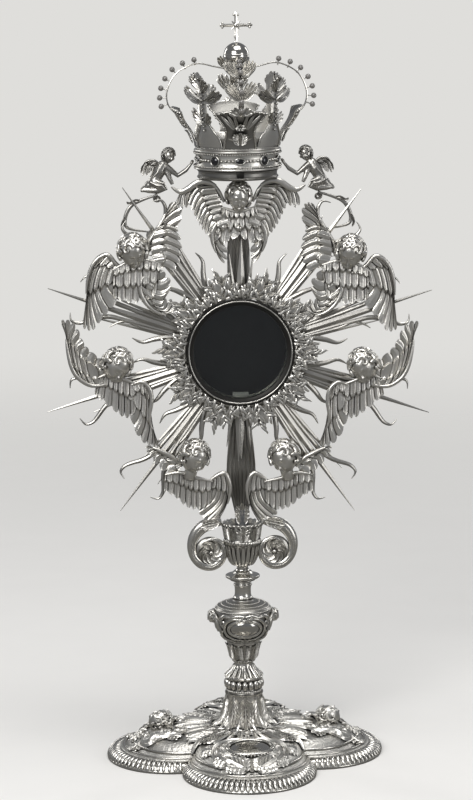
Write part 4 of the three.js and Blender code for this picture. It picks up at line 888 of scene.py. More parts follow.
def model_stem():
    body = core("trumpet", "acanthus_trumpet", [(30.6, 0), (30.6, 0.03), (26.6, 0.1), (21.8, 0.34),
        (19.6, 0.6), (18.2, 0.94), (19.4, 0.965), (19.4, 1)], BRIGHT)
    fall = rounded(list(reversed(level("acanthus_trumpet", [(30.4, 0.03), (26.4, 0.11), (21.6, 0.34),
        (19.4, 0.6), (18, 0.93)]))), 2)
    leaves = banded("leaves", acanthus(37, 6.4, 5, 1.0, 1.4, 1.9), fall, 10, LEAF, CHASED)
    tongues = banded("tongues", [tapered([(0, 16, 0.2), (0, 27, 0.6), (0, 37, 0.9)], 2.4, 9)], fall, 10,
        FEATHER, BRIGHT, 18)
    silver_piece(joined("trumpet", [body, leaves, tongues]), "acanthus_trumpet")

    low, high = span("gadrooned_ring")
    mid = (low.z + high.z) / 2
    body = core("ring", "gadrooned_ring", [(17.8, 0), (17.8, 0.06), (16.4, 0.14), (15.6, 0.5), (16.4, 0.86),
        (17.8, 0.94), (17.8, 1)], BRIGHT)
    bosses = round_places(17, mid + 1.4, 18, stretched(3.0, 3.5, 5.0))
    knobs = coat(copies("bosses", ball(1.0, 20, 14), bosses), BRIGHT)
    beads = bead_ring(17.4, mid - 5.4, 48, 1.3, CHASED)
    silver_piece(joined("ring", [body, knobs, beads]), "gadrooned_ring")

    low = span("acanthus_bulb")[0]
    body = core("bulb", "acanthus_bulb", [(19.2, 0), (19.4, 0.03), (16.6, 0.08), (12.6, 0.17), (10.4, 0.26),
        (9.4, 0.36), (9.2, 0.42), (10.6, 0.44), (10.6, 0.47), (10.2, 0.49), (12.8, 0.53), (13.4, 0.62),
        (14.4, 0.76), (15.8, 0.9), (17, 0.95), (17, 1)], BRIGHT)
    flare = rounded(level("acanthus_bulb", [(19.2, 0.02), (16.4, 0.09), (12.4, 0.18), (10.2, 0.27),
        (9.3, 0.38)]), 1)
    flutes = banded("flutes", [tapered([(0, 0.4, 0.2), (0, 8, 0.5), (0, 15.6, 0.3)], 1.75, 9, 0.5, 0.9)],
        flare, 18, ROUND, BRIGHT)
    swell = rounded(level("acanthus_bulb", [(11.4, 0.5), (12.9, 0.54), (13.4, 0.62), (14.4, 0.76),
        (16, 0.92)]), 1)
    leaves = banded("leaves", acanthus(19, 5, 4, 0.9, 1.3, 1.35), swell, 8, LEAF, CHASED)
    tongues = banded("tongues", [tapered([(0, 6, 0.2), (0, 12, 0.7), (0, 18, 0.6)], 1.8, 9)], swell, 8,
        FEATHER, CHASED, 22.5)
    beads = bead_ring(10.7, low.z + 17.29, 22, 1.2, BRIGHT)
    silver_piece(joined("bulb", [body, flutes, leaves, tongues, beads]), "acanthus_bulb")

    model_knop()

    body = core("neck", "upper_neck", [(9.4, 0), (9.8, 0.03), (9.8, 0.1), (8.8, 0.15), (8.2, 0.3),
        (8.1, 0.5), (8.2, 0.7), (8.5, 0.84), (9.3, 0.9), (9.3, 0.97), (8.6, 1)], BRIGHT, 2)
    silver_piece(body, "upper_neck")
    body = core("disc", "stem_disc", [(8.8, 0), (8.8, 0.05), (8.2, 0.1), (9, 0.18), (12.6, 0.22), (13, 0.27),
        (12.4, 0.31), (15.4, 0.36), (17.1, 0.42), (17.3, 0.48), (17.3, 0.54), (17, 0.58), (14.6, 0.62),
        (11.2, 0.7), (9.6, 0.8), (8.6, 0.86), (7, 0.9), (6.6, 0.97), (6.2, 1)], BRIGHT, 1, 128)
    silver_piece(body, "stem_disc")
    model_cup()


def model_knop():
    low = span("knop")[0]
    tall = 43
    body = core("knop", "knop", [(17.4, 0), (17.4, 0.03), (18.8, 0.06), (22.4, 0.14), (26, 0.28),
        (28.4, 0.45), (KNOP_GIRTH, 0.6), (29, 0.7), (28, 0.765), (28.2, 0.78), (26.4, 0.83), (22.4, 0.88),
        (16.4, 0.93), (12, 0.955), (10.4, 0.97), (10.4, 1)], "dull_shaded_silver")
    rings = []
    for r, share in ((26.2, 0.835), (22.2, 0.883), (16.6, 0.93)):
        rings.append(bead_ring(r, low.z + share * tall, int(r * 3.2), 0.7, CHASED))
    cheek = rounded(level("knop", [(17.6, 0.02), (22.2, 0.13), (25.8, 0.27), (28.2, 0.44), (29.1, 0.6),
        (28.8, 0.74)]), 1)
    frame_lines = [oval_line(17.4, 9.4, 1.25, 1.3), oval_line(15.6, 8.0, 0.6, 1.5)]
    for flip in (1, -1):
        for half, path in ((1.5, [(1, 13), (8, 14), (14, 12), (20, 13), (25, 10), (26, 4), (22, 0)]),
                (1.3, [(2, 10.4), (9, 11), (16, 9), (20.6, 4), (21, -2), (17.6, -8), (10, -11.6),
                (2, -12.4)]), (1.2, [(22, -2), (25.4, -7), (22, -12), (15, -14), (9, -15.6)])):
            frame_lines.append(tapered([(flip * x, y, 1.9) for x, y in path], 1.15 * half, 24, 0.3, 0.6))
        frame_lines.append([(flip * x, y, 1.8, 1.1) for x, y in spiral(5, 11.8, 3.4, 0.8, 80, -1.4)])
        frame_lines.append([(flip * x, y, 1.8, 1.1) for x, y in spiral(24, 5.6, 3.6, 0.8, 60, -1.3)])
    frame_lines = moved(frame_lines, 0, 19.6)
    scrollwork = banded("scrollwork", frame_lines, cheek, 2, FLAME, BRIGHT)
    oval = turned("oval", rounded([(0, 3.0), (8, 2.7), (13, 1.9), (15.4, 0.7), (15.4, 0), (0, 0)], 2), 72,
        closed=False)
    put(oval, at(0, 19.6, 0) @ stretched(1, 0.52, 1))
    ovals = coat(copies("ovals", wrapped(oval, cheek), lobe_places(2)), "mirror_silver")
    one = wing([(-2, 6), (-8, 10), (-14, 8), (-17, 1)], [(-17, -6), (-12, -9), (-6, -8), (-2, -5)], (5, 4),
        0.8, 0.7, 0.3, 1.2)
    middle = at(0, 22, 0)
    pair = copies("wings", one, [middle, middle @ MIRROR])
    plumes = coat(copies("wings", wrapped(pair, cheek, 90), lobe_places(2)), CHASED)
    heads = []
    for turn in (90, -90):
        stand = spun(turn) @ at(0, -KNOP_GIRTH - 1.4, low.z + 0.58 * tall)
        heads.append(put(coat(child_head("head", 5.7), CHASED), stand @ spun(100, "X")))
    rope = bead_ring(28.2, low.z + 0.772 * tall, 84, 0.8, BRIGHT)
    foot_ring = banded("leaves", acanthus(8.5, 3.0, 3, 0.7, 0.8, 0.95), cheek, 14, LEAF, CHASED)
    parts = [body, *rings, scrollwork, ovals, plumes, *heads, rope, foot_ring]
    silver_piece(joined("knop", parts), "knop", crease=50)


def model_cup():
    low, high = span("socket_cup")
    outside = level("socket_cup", [(5.6, 0), (5.8, 0.06), (9.6, 0.09), (11, 0.13), (12.4, 0.2), (14.6, 0.36),
        (16, 0.5), (17, 0.53), (16.2, 0.545), (17.4, 0.56), (18.2, 0.58), (18.2, 0.62), (16.9, 0.64),
        (17, 0.72), (17.8, 0.86), (18.6, 0.97), (18.4, 1)])
    inside = [(17, high.z), (15.6, high.z - 4), (7.3, high.z - 6), (7.3, CUP_FLOOR), (ROD_BORE, CUP_FLOOR),
        (ROD_BORE, low.z)]
    body = coat(turned("cup", [*rounded(outside, 1), *inside], 96), BRIGHT)
    cone = rounded(level("socket_cup", [(9.8, 0.1), (11.2, 0.14), (12.6, 0.21), (14.8, 0.36), (16.2, 0.5),
        (16.4, 0.53)]), 1)
    lobes = banded("lobes", [tapered([(0, 0.3, 0.1), (0, 10, 0.5), (0, 21, 0.6)], 2.2, 10, 0.7, 0.6)], cone,
        20, ROUND, BRIGHT)
    slant = spun(28, "Y") @ stretched(0.62, 0.8, 1.5)
    rope = copies("rope", ball(1.7, 12, 8), round_places(17.9, low.z + 28.44, 40, slant))
    coat(rope, BRIGHT)
    side = rounded(level("socket_cup", [(16.6, 0.63), (17, 0.72), (17.8, 0.86), (18.7, 0.985)]), 1)
    leaves = banded("leaves", acanthus(16.5, 5.6, 4, 1.0, 1.6, 1.35), side, 8, LEAF, CHASED)
    tongues = banded("tongues", [tapered([(0, 4, 0.2), (0, 10, 0.8), (0, 15.4, 0.9)], 2.0, 8)], side, 8,
        FEATHER, CHASED, 22.5)
    turns = [math.pi * i / 8 for i in range(9)]
    arc = [(1.75 * math.cos(a), 15.4 + 2 * math.sin(a), 0.8, 0.8) for a in turns]
    rim = banded("scallops", [arc], side, 24, ROUND, BRIGHT)
    shell = []
    for a in map(math.radians, range(-72, 73, 24)):
        s, c = math.sin(a), math.cos(a)
        rib = [(0, 9, 1.2), (3.4 * s, 9 + 3.8 * c, 1.8), (6.6 * s, 9 + 7.4 * c, 2.4)]
        shell.append(tapered(rib, 1.05, 7, 0.5, 0.4))
    shells = banded("shells", shell, side, 2, ROUND, BRIGHT)
    silver_piece(joined("cup", [body, lobes, rope, leaves, tongues, rim, shells]), "socket_cup")


# Case and door

HINGE = (55.9, 9.8)
LATCH_X = -57.7


def about_window(obj):
    """Lays a piece turned about +Z down to be turned about the window's axis: its +Z runs to the back."""
    return put(obj, at(0, 0, SUN_Z) @ spun(-90, "X"))


def ring_of(name, profile, steps=160, smooth=1):
    line = rounded([*profile, profile[0]], smooth)[:-1] if smooth else profile
    return about_window(turned(name, line, steps))


def block(low, high, ease=0.25):
    """A box between two corners with eased edges."""
    deselect()
    bpy.ops.mesh.primitive_cube_add(size=1)
    obj = bpy.context.active_object
    size, middle = Vector(high) - Vector(low), (Vector(high) + Vector(low)) / 2
    put(obj, at(*middle) @ stretched(*size))
    bevel = obj.modifiers.new("ease", "BEVEL")
    bevel.width = ease
    bevel.segments = 2
    bpy.ops.object.modifier_apply(modifier="ease")
    return obj


def model_case():
    ring = ring_of("case", [(49, -9), (51.6, -9), (52, -8.6), (52, -6), (51.5, -5.4), (51.5, 4.4), (52, 5),
        (52, 7.6), (51.6, 8), (49, 8)], smooth=0)
    parts = [ring]
    for side in (-1, 1):
        near, far = sorted((side * 3.3, side * 8))
        parts.append(block((50.5, 4.5, SUN_Z + near), (56.9, 7.9, SUN_Z + far)))
        parts.append(turned_barrel(*HINGE, SUN_Z + near, SUN_Z + far))
    parts.append(block((-60.6, 4, SUN_Z - 4), (-50.5, 7.9, SUN_Z + 4), 0.8))
    parts.append(bar("lug", (LATCH_X, 7, SUN_Z), (LATCH_X, 11.3, SUN_Z), 3, 32))
    silver_piece(joined("case_ring", parts), "case_ring", material=BRIGHT)

    # The frame's inner slope is coloured near black: painted shade
    bevel = ring_of("bevel", [(46.9, -9.3), (46.9, -9.7), (50.4, -10.8), (53.3, -10.8), (53.8, -10.3),
        (53.8, -9.3)], smooth=0)
    lip = ring_of("lip", [(50.6, -10.6), (50.6, -11.6), (51, -12), (51.6, -12), (52, -11.6), (52, -10.6)])
    silver_piece(joined("bezel", [coat(bevel, "near_black_silver"), coat(lip, BRIGHT)]), "front_bezel")
    glass = ring_of("front_glass_clear", [(0.01, -8.9), (48.5, -8.9), (48.7, -8.7), (48.7, -7.1),
        (48.5, -6.9), (0.01, -6.9)], 128, 0)
    finish(glass, "glass", "front_glass", material="crown_glass")

    door = ring_of("door", [(47, 8.3), (51.5, 8.3), (51.7, 8.6), (51.7, 10.6), (51, 11.2), (49.6, 11.3),
        (49, 10.9), (47.4, 10.9), (46.6, 11.3), (45.4, 11.3), (44.7, 10.9), (44.7, 10.3), (47, 10.3)],
        smooth=0)
    strap = block((50.2, 8.4, SUN_Z - 2.9), (55.9, 11.2, SUN_Z + 2.9))
    barrel = turned_barrel(*HINGE, SUN_Z - 3, SUN_Z + 3)
    silver_piece(joined("rear_door_frame", [door, strap, barrel]), "rear_door_frame", body="rear_door",
        material=BRIGHT)
    pane = ring_of("rear_glass_dark", [(0.01, 8.6), (46.5, 8.6), (46.7, 8.8), (46.7, 9.8), (46.5, 10),
        (0.01, 10)], 128, 0)
    finish(pane, "glass", "rear_glass", body="rear_door", material="velvet_backed_glass")

    deselect()
    turn_button = turned("button", [(1.5, 11.6), (2.7, 11.6), (3, 11.9), (3, 12.9), (2.7, 13.2),
        (1.5, 13.2)], 48)
    put(turn_button, spun(-90, "X"))
    arm = block((-1.7, 11.62, 1.8), (1.7, 13.18, 11), 0.5)
    latch = put(joined("latch", [turn_button, arm]), at(LATCH_X, 0, SUN_Z))
    silver_piece(latch, "door_latch", body="door_latch", material=BRIGHT)
    shank = bar("shank", (LATCH_X, 7, SUN_Z), (LATCH_X, 13.4, SUN_Z), 1.2, 24)
    head = turned("screw", [(0, 13.5), (2.3, 13.5), (2.4, 13.7), (2.2, 14.5), (1.4, 14.9), (0, 14.9)], 32,
        closed=False)
    put(head, at(LATCH_X, 0, SUN_Z) @ spun(-90, "X"))
    silver_piece(joined("latch_screw", [shank, head]), "latch_screw", material=BRIGHT)


def turned_barrel(x, y, low, high):
    """One knuckle of the door's hinge, bored for its pin."""
    wall = [(1.5, low), (2.5, low), (2.7, low + 0.2), (2.7, high - 0.2), (2.5, high), (1.5, high)]
    return put(turned("knuckle", wall, 40), at(x, y, 0))


# Glory

RAY_ROOT = 52.3
# Side rays: degrees that they lean, reach. Flames: half width, steps and middle line as (distance beyond the
# root, distance from the middle ray)
SIDE_RAYS = [(5.2, 158), (-5.2, 146)]
LONG_FLAME = (2.4, 26, [(0, 4), (43, 5), (68, 6.5), (81, 7.5), (93, 12.5), (103, 20), (109, 23.5),
    (115, 24), (118, 21.5), (120, 16)])
SHORT_FLAME = (2.8, 16, [(0, 5), (17, 8), (32, 15), (43, 22), (54, 21)])
SINGLE_FLAME = (2.1, 18, [(0, 5), (23, 6.4), (48, 8), (63, 6.4), (73, 11.5), (79, 18)])


def straight_ray(reach, half, lean):
    """A ridged ray that runs out along +X, leaning by degrees."""
    c, s = math.cos(math.radians(lean)), math.sin(math.radians(lean))
    line = []
    for i in range(7):
        t = i / 6
        r = RAY_ROOT + (reach - RAY_ROOT) * t
        line.append((r * c, r * s, 0, half + (0.35 - half) * t))
    return line


def flame(kind, side):
    """A flame on one side of the middle ray, widest at a third of its length and pointed at its tip."""
    half, steps, line = kind
    stroke = []
    for i, (x, y) in enumerate(smooth_line(line, steps)):
        width = 0.35 + (half - 0.35) * math.sin(math.pi * (0.25 + 0.75 * i / (steps - 1)))
        stroke.append((RAY_ROOT + x, side * y, 0, width))
    return stroke


def model_glory(reach, short_reach, width, bundles):
    root_arc = []
    for i in range(9):
        a = math.radians(-17 + 34 * i / 8)
        root_arc.append((56 * math.cos(a), 56 * math.sin(a), 0, 3.4))
    full = [straight_ray(reach, width / 2, 0), root_arc]
    full += [straight_ray(r, 3.6, lean) for lean, r in SIDE_RAYS]
    short = [straight_ray(short_reach, width / 2, 0), straight_ray(short_reach - 14, 3, 7),
        straight_ray(short_reach - 14, 3, -7)]
    for i in range(bundles):
        angle = 180 / bundles + i * 360 / bundles
        across = math.cos(math.radians(angle))
        upright = abs(across) < 0.1
        rays = strokes("rays", short if upright else full, RAY)
        if not upright:
            flames = [flame(kind, side) for kind in (LONG_FLAME, SHORT_FLAME) for side in (1, -1)]
            flames.append(flame(SINGLE_FLAME, 1 if across < 0 else -1))
            rays = joined("rays", [rays, strokes("flames", flames, FLAME)])
        put(rays, spun(angle))
        facing(rays, 0, SUN_TURN)
        silver_piece(rays, f"ray_bundle_{i + 1}", material="dull_shaded_silver", crease=20)


def leaf_clump(length, width, tiers):
    """Curly lobes in tiers, each over the roots of the one outside it; tiers are the lobes in each."""
    lines = []
    for tier, count in enumerate(tiers):
        share = tier / (len(tiers) - 1)
        spread = width * (1 - 0.82 * share**1.4)
        for k in range(count):
            off = 2 * k / (count - 1) - 1 if count > 1 else 0
            lean = math.radians(46 * off * (1 - 0.3 * share))
            c, s = math.cos(lean), math.sin(lean)
            side = 1 if (k + tier) % 2 else -1
            reach = 11.2 - 1.5 * abs(off) + 1.5 * math.sin(7 * k + 3 * tier)
            path = []
            for j in range(6):
                u = j / 5
                sway = side * 1.8 * math.sin(2 * math.pi * (0.1 + 0.7 * u))
                x = spread * off + reach * u * s + sway * c
                y = (length - 10) * share - 1 + reach * u * c - sway * s
                path.append((x, y, 0.9 + 3.0 * (1 - share) + 0.9 * math.sin(math.pi * u) + 0.9 * u**3))
            lines.append(tapered(path, 1.6, 12, 0.14, 0.6, side * 30))
    return lines


def model_wreath(reach, clumps):
    inner = 54.2
    length = reach - inner
    lines, plates = [], []
    small = leaf_clump(15, 6, (4, 3, 2))
    large = leaf_clump(length + 1, 13.5, (8, 7, 7, 5, 3, 1))
    for i in range(clumps):
        turn = 360 * i / clumps - 90
        a = math.radians(turn)
        place = Matrix.Rotation(a, 4, "Z") @ at(0, inner, 0)
        plates.append(place)
        lines += moved(large, -inner * math.sin(a), inner * math.cos(a), 0.8, turn)
        between = turn + 180 / clumps
        a = math.radians(between)
        lines += moved(small, -inner * math.sin(a), inner * math.cos(a), 1.2, between)
    leaves = strokes("leaves", lines, FLAME)
    shape = [(13, 0), (13, 0.3 * length), (9.5, 0.58 * length), (4.5, 0.78 * length), (0, 0.92 * length)]
    edge = []
    for i in range(31):
        x, y = curve_point(shape, i / 30)
        scallop = 1 - 0.09 * abs(math.sin(5 * math.pi * i / 30 + math.pi / 2))
        edge.append((x * scallop, y * scallop))
    plate = slab("plate", edge + [(-x, y) for x, y in reversed(edge[:-1])], 0.1, 1.6)
    plate = copies("plates", plate, plates)
    base = turned("rim", rounded([(54.2, 0.2), (54.2, 3.4), (55.6, 4.2), (57.4, 2.8), (61, 1.0), (61, 0.2),
        (54.2, 0.2)], 1)[:-1], 128)
    wreath = facing(joined("wreath", [leaves, plate, base]), ORNAMENT_Y, SUN_TURN)
    silver_piece(wreath, "acanthus_wreath", material=CHASED)


# Winged heads

# Bumps of a child's face: degrees across and up from its middle, how wide and high, share of the radius
FACE = [
    (18, 13, 13, 5, 0.03), (0, 34, 30, 18, 0.03), (18, -3, 9, 6.5, -0.085), (18, -4, 6.5, 4.4, 0.07),
    (18, -6.6, 6, 0.9, -0.028), (0, -2, 3.6, 9, 0.05), (0, -15, 4.6, 5.2, 0.125),
    (5.4, -17.5, 2.8, 2.6, 0.055), (0, -22.5, 5, 2.4, -0.02), (4, -26.4, 4.6, 2.1, 0.05),
    (0, -29.2, 9.5, 1.0, -0.06), (0, -32.4, 6, 2.5, 0.065), (0, -37.5, 7, 2.6, -0.03),
    (0, -46, 11, 8, 0.085), (30, -21, 13, 11, 0.06), (13, -29.5, 2.5, 2.5, -0.03),
]
FACE_RELIEF = 1.6  # how far the bumps are raised
HEAD_WIDTH, HEAD_HEIGHT, HEAD_FRONT, HEAD_BACK = 0.9, 1.14, 0.96, 0.9  # shares of a ball's radius


def child_head(name, radius):
    """A calm child's head with short curls, its face along +Z and its crown along +Y."""
    deselect()
    bpy.ops.mesh.primitive_uv_sphere_add(segments=96, ring_count=72, radius=1)
    head = bpy.context.active_object
    for vertex in head.data.vertices:
        x, y, z = vertex.co.normalized()
        across, up = math.degrees(math.atan2(x, z)), math.degrees(math.asin(max(-1, min(1, y))))
        size = 1.0
        for a, b, wide, high, bump in FACE:
            for side in (-1, 1) if a else (1,):
                near = -(((across - side * a) / wide) ** 2) - ((up - b) / high) ** 2
                size += FACE_RELIEF * bump * math.exp(near)
        jaw = 1 - 0.2 * max(0.0, -y - 0.1)
        depth = HEAD_FRONT if z > 0 else HEAD_BACK
        vertex.co = (x * size * HEAD_WIDTH * jaw, y * size * HEAD_HEIGHT, z * size * depth)
    curls = []
    rings = ((80, 2), (58, 6), (35, 8), (12, 9), (-11, 9), (-33, 8))
    for ring, (up, count) in enumerate(rings):
        for k in range(count):
            across = 360 * (k + 0.5 * (ring % 2)) / count
            far = min(across, 360 - across)
            if (up < 50 and far < 38) or (up < 28 and far < 62) or (up < -8 and far < 78):
                continue
            curls.append(curl(math.radians(across), math.radians(up), 1 if (k + ring) % 2 else -1))
    hair = strokes("curls", curls, ROUND)
    return put(joined(name, [head, hair]), Matrix.Scale(radius, 4))


def curl(across, up, side):
    """One lock that winds up in a comma on the skull."""
    out = Vector((math.sin(across) * math.cos(up), math.sin(up), math.cos(across) * math.cos(up)))
    right = Vector((math.cos(across), 0, -math.sin(across)))
    top = out.cross(right)
    line = []
    for i in range(15):
        t = i / 14
        a = side * (1.7 * math.pi * t) + across * 3 + up * 5
        reach = 0.43 * (1 - t) ** 0.75 + 0.03
        place = out * (0.95 + 0.15 * t) + (right * math.cos(a) + top * math.sin(a)) * reach
        place.x *= 0.93
        place.y *= 1.12
        line.append((*place, 0.17 - 0.09 * t))
    return line


# Left-hand figures, across and up from the centre of the window. A wing runs along its arm from root to tip
# and comes back along the ends of its feathers. A breast hangs from its first line to its second, which
# comes back, and so do tufts. Then come the numbers of feathers in the rows, longest first, and how far
# tufts bow. Plumes are the lines of single long feathers.
UPPER = {
    "head": (-108, 101.5), "pose": (34, 14, 8),
    "breast": ([(-127, 82), (-112, 90), (-96, 92), (-80, 88)],
               [(-84, 58), (-97, 50), (-112, 49), (-127, 54)], (7, 7, 8)),
    "wings": [
        ([(-110, 80), (-123, 87), (-133, 97), (-145, 90), (-152, 73), (-154, 47), (-157, 24)],
         [(-152, 21), (-145, 22), (-136, 34), (-128, 43), (-118, 56), (-112, 66), (-104, 70)], (9, 7, 6)),
        ([(-93, 96), (-92, 108), (-86, 118), (-79, 130), (-75, 139), (-71, 148)],
         [(-67, 149.5), (-62, 148), (-59, 141), (-60, 131), (-66, 121)], (6,)),
        ([(-91, 84), (-100, 66), (-95, 50), (-84, 40), (-72, 37), (-62, 44)],
         [(-68, 52), (-76, 54), (-70, 62), (-70, 72), (-78, 82)], (7, 5)),
    ],
    "tufts": [([(-84, 124), (-88, 112), (-89, 98), (-84, 84)],
               [(-68, 80), (-61, 90), (-59, 102), (-60, 113), (-64, 124)], (6, 5), -0.16)],
}
MIDDLE = {
    "head": (-123, -12), "pose": (24, 34, -22),
    "breast": ([(-141, -26), (-130, -22), (-117, -27), (-104, -32)],
               [(-103, -60), (-113, -67), (-125, -60), (-137, -50), (-145, -42)], (7, 8)),
    "wings": [
        ([(-134, -33), (-148, -34), (-161, -26), (-168, -14), (-172, 4), (-174, 18), (-179, 30)],
         [(-174, 32), (-166, 29), (-160, 20), (-155, 8), (-151, 3), (-143, -4), (-134, -10)], (8, 7, 6)),
        ([(-108, -33), (-98, -30), (-90, -37), (-88, -50), (-90, -68), (-84, -84), (-80, -94)],
         [(-83, -97), (-89, -96), (-97, -91), (-104, -81), (-109, -67), (-114, -57)], (7, 6, 5)),
    ],
}
LOWER = {
    "head": (-45, -105), "pose": (18, 36, -12),
    "breast": ([(-74, -124), (-58, -122), (-43, -127), (-26, -131)],
               [(-27, -152), (-38, -160), (-51, -158), (-63, -148), (-75, -141)], (9, 9)),
    "wings": [
        ([(-57, -116), (-66, -107), (-77, -101), (-86, -97), (-93, -94.5)],
         [(-93, -99.5), (-89.5, -106), (-83.5, -114), (-76, -121), (-65, -127)], (6, 4)),
        ([(-31, -133), (-23, -126), (-14, -123), (-9, -134), (-9, -146), (-13, -160), (-20, -172)],
         [(-25, -173), (-34, -170), (-40, -163), (-39, -154), (-36, -148)], (8, 5)),
    ],
}
TOP = {
    "head": (0, 156), "pose": (20, 0, 0),
    "breast": ([(-17, 145), (0, 140), (17, 145)], [(27, 114), (13, 109), (0, 115), (-13, 109), (-27, 114)],
               (6, 7, 8)),
    "wings": [
        ([(-14, 150), (-22, 164), (-34, 169), (-46, 167), (-57, 160), (-62, 149)],
         [(-58, 143), (-51, 145), (-46, 148), (-40, 152), (-34, 154)], (6, 4)),
        ([(-9, 134), (-20, 130), (-26, 121), (-26, 110), (-22, 98), (-17, 89)],
         [(-13, 90), (-11, 98), (-12, 108), (-9, 118), (-6, 128)], (5, 3)),
    ],
    "tufts": [([(-24, 166), (-19, 154), (-14, 141), (-9, 127)],
               [(-23, 109), (-32, 118), (-39, 128), (-44, 138), (-50, 150)], (9, 8), 0.24)],
    "plumes": [[(-22, 166), (-31, 170.5), (-41, 169.5), (-50, 163.5), (-58, 161), (-66, 166)]],
}


def cherub(figure, radius, side, turn, both=False):
    """A winged head: wings and breast as feathered relief, then the head in its pose."""
    wings = [wing(*rows) for rows in figure["wings"]]
    for *rows, bow in figure.get("tufts", ()):
        wings.append(plumage("tuft", *rows, False, 3.4, 1.4, 1.1, bow))
    for path in figure.get("plumes", ()):
        wings.append(strokes("plume", [tapered([(x, y, 6.2) for x, y in path], 3.0, 24, 0.3, 0.5)], BAND))
    if both:
        for part in list(wings):
            wings.append(flipped(placed("twin", part.data.copy())))
    line, ends, counts = figure["breast"]
    breast = plumage("breast", line, ends, counts, False, 3.0, 1.5, 1.1)
    collar = strokes("collar", [tapered([(x, y, 6.4) for x, y in line], 2.0, 20, 0.4, 0.4)], ROUND)
    face = child_head("head", radius)
    pitch, yaw, roll = (math.radians(a) for a in figure["pose"])
    pose = Matrix.Rotation(roll, 4, "Z") @ Matrix.Rotation(yaw, 4, "Y") @ Matrix.Rotation(pitch, 4, "X")
    put(face, at(*figure["head"], 9.2) @ pose)
    across, up = figure["head"]
    throat = (sum(x for x, _ in line) / len(line), sum(y for _, y in line) / len(line) - 3, 5)
    neck = bar("neck", (across, up - 0.3 * radius, 6), throat, 0.44 * radius, 32, 1.5)
    whole = joined("cherub", [*wings, breast, collar, neck, face])
    if side > 0:
        flipped(whole)
    return coat(facing(whole, ORNAMENT_Y, turn), CHASED)


def model_cherubs(radius, top_radius):
    for word, side in (("left", -1), ("right", 1)):
        for row, figure in (("upper", UPPER), ("middle", MIDDLE), ("lower", LOWER)):
            silver_piece(cherub(figure, radius, side, SUN_TURN), f"cherub_{row}_{word}", crease=60)
    top = cherub(TOP, top_radius, -1, 0, True)
    drop = put(ball(3.7, 32, 20), at(0, -6.8, SUN_Z + 124))
    stalk = bar("stalk", (0, -4.6, SUN_Z + 121), (0, -4.6, SUN_Z + 138), 1.5)
    boss = bar("boss", (0, -6, SUN_Z + 142), (0, 2.2, SUN_Z + 142), 3)
    bright = [coat(part, BRIGHT) for part in (drop, stalk, boss)]
    silver_piece(joined("top", [top, *bright]), "cherub_top", crease=60)


# Putti, scrolls and volutes

LIMB_GAIN = 1.16  # the skin that is drawn over the limbs thins them by as much
# The right-hand putto's trunk, raised arm, other arm, and near and far leg: across, up, out, half width
PUTTO = [
    [(70, 190, 0, 2.6), (73, 187, 0, 4.4), (77, 181, 0.2, 5.6), (80, 175, 0.2, 5.0), (82, 170, 0, 5.8),
     (83, 167, 0, 4.6)],
    [(72, 186.4, 0.6, 2.9), (66, 181.5, 1.4, 2.6), (59, 176, 1.6, 2.1), (51, 181, 1.6, 1.9),
     (46.5, 186.4, 1.8, 1.3), (44.6, 189.2, 1.9, 1.6)],
    [(74, 185, -1, 2.8), (69, 178, 1, 2.5), (66, 171, 2.4, 2.0), (64.5, 167.4, 2.8, 1.6)],
    [(82, 170, 1.6, 4.6), (76, 166.4, 2.8, 4.4), (72.6, 163.4, 3, 3.4), (79, 161.6, 1.6, 3.1),
     (88, 161.8, 0.6, 2.6), (94, 162, 0, 1.6)],
    [(83, 169, -1.6, 4.4), (88, 166, -1.4, 4.2), (91, 163.6, -1.2, 3.0), (95, 161.6, -1, 2.0)],
]


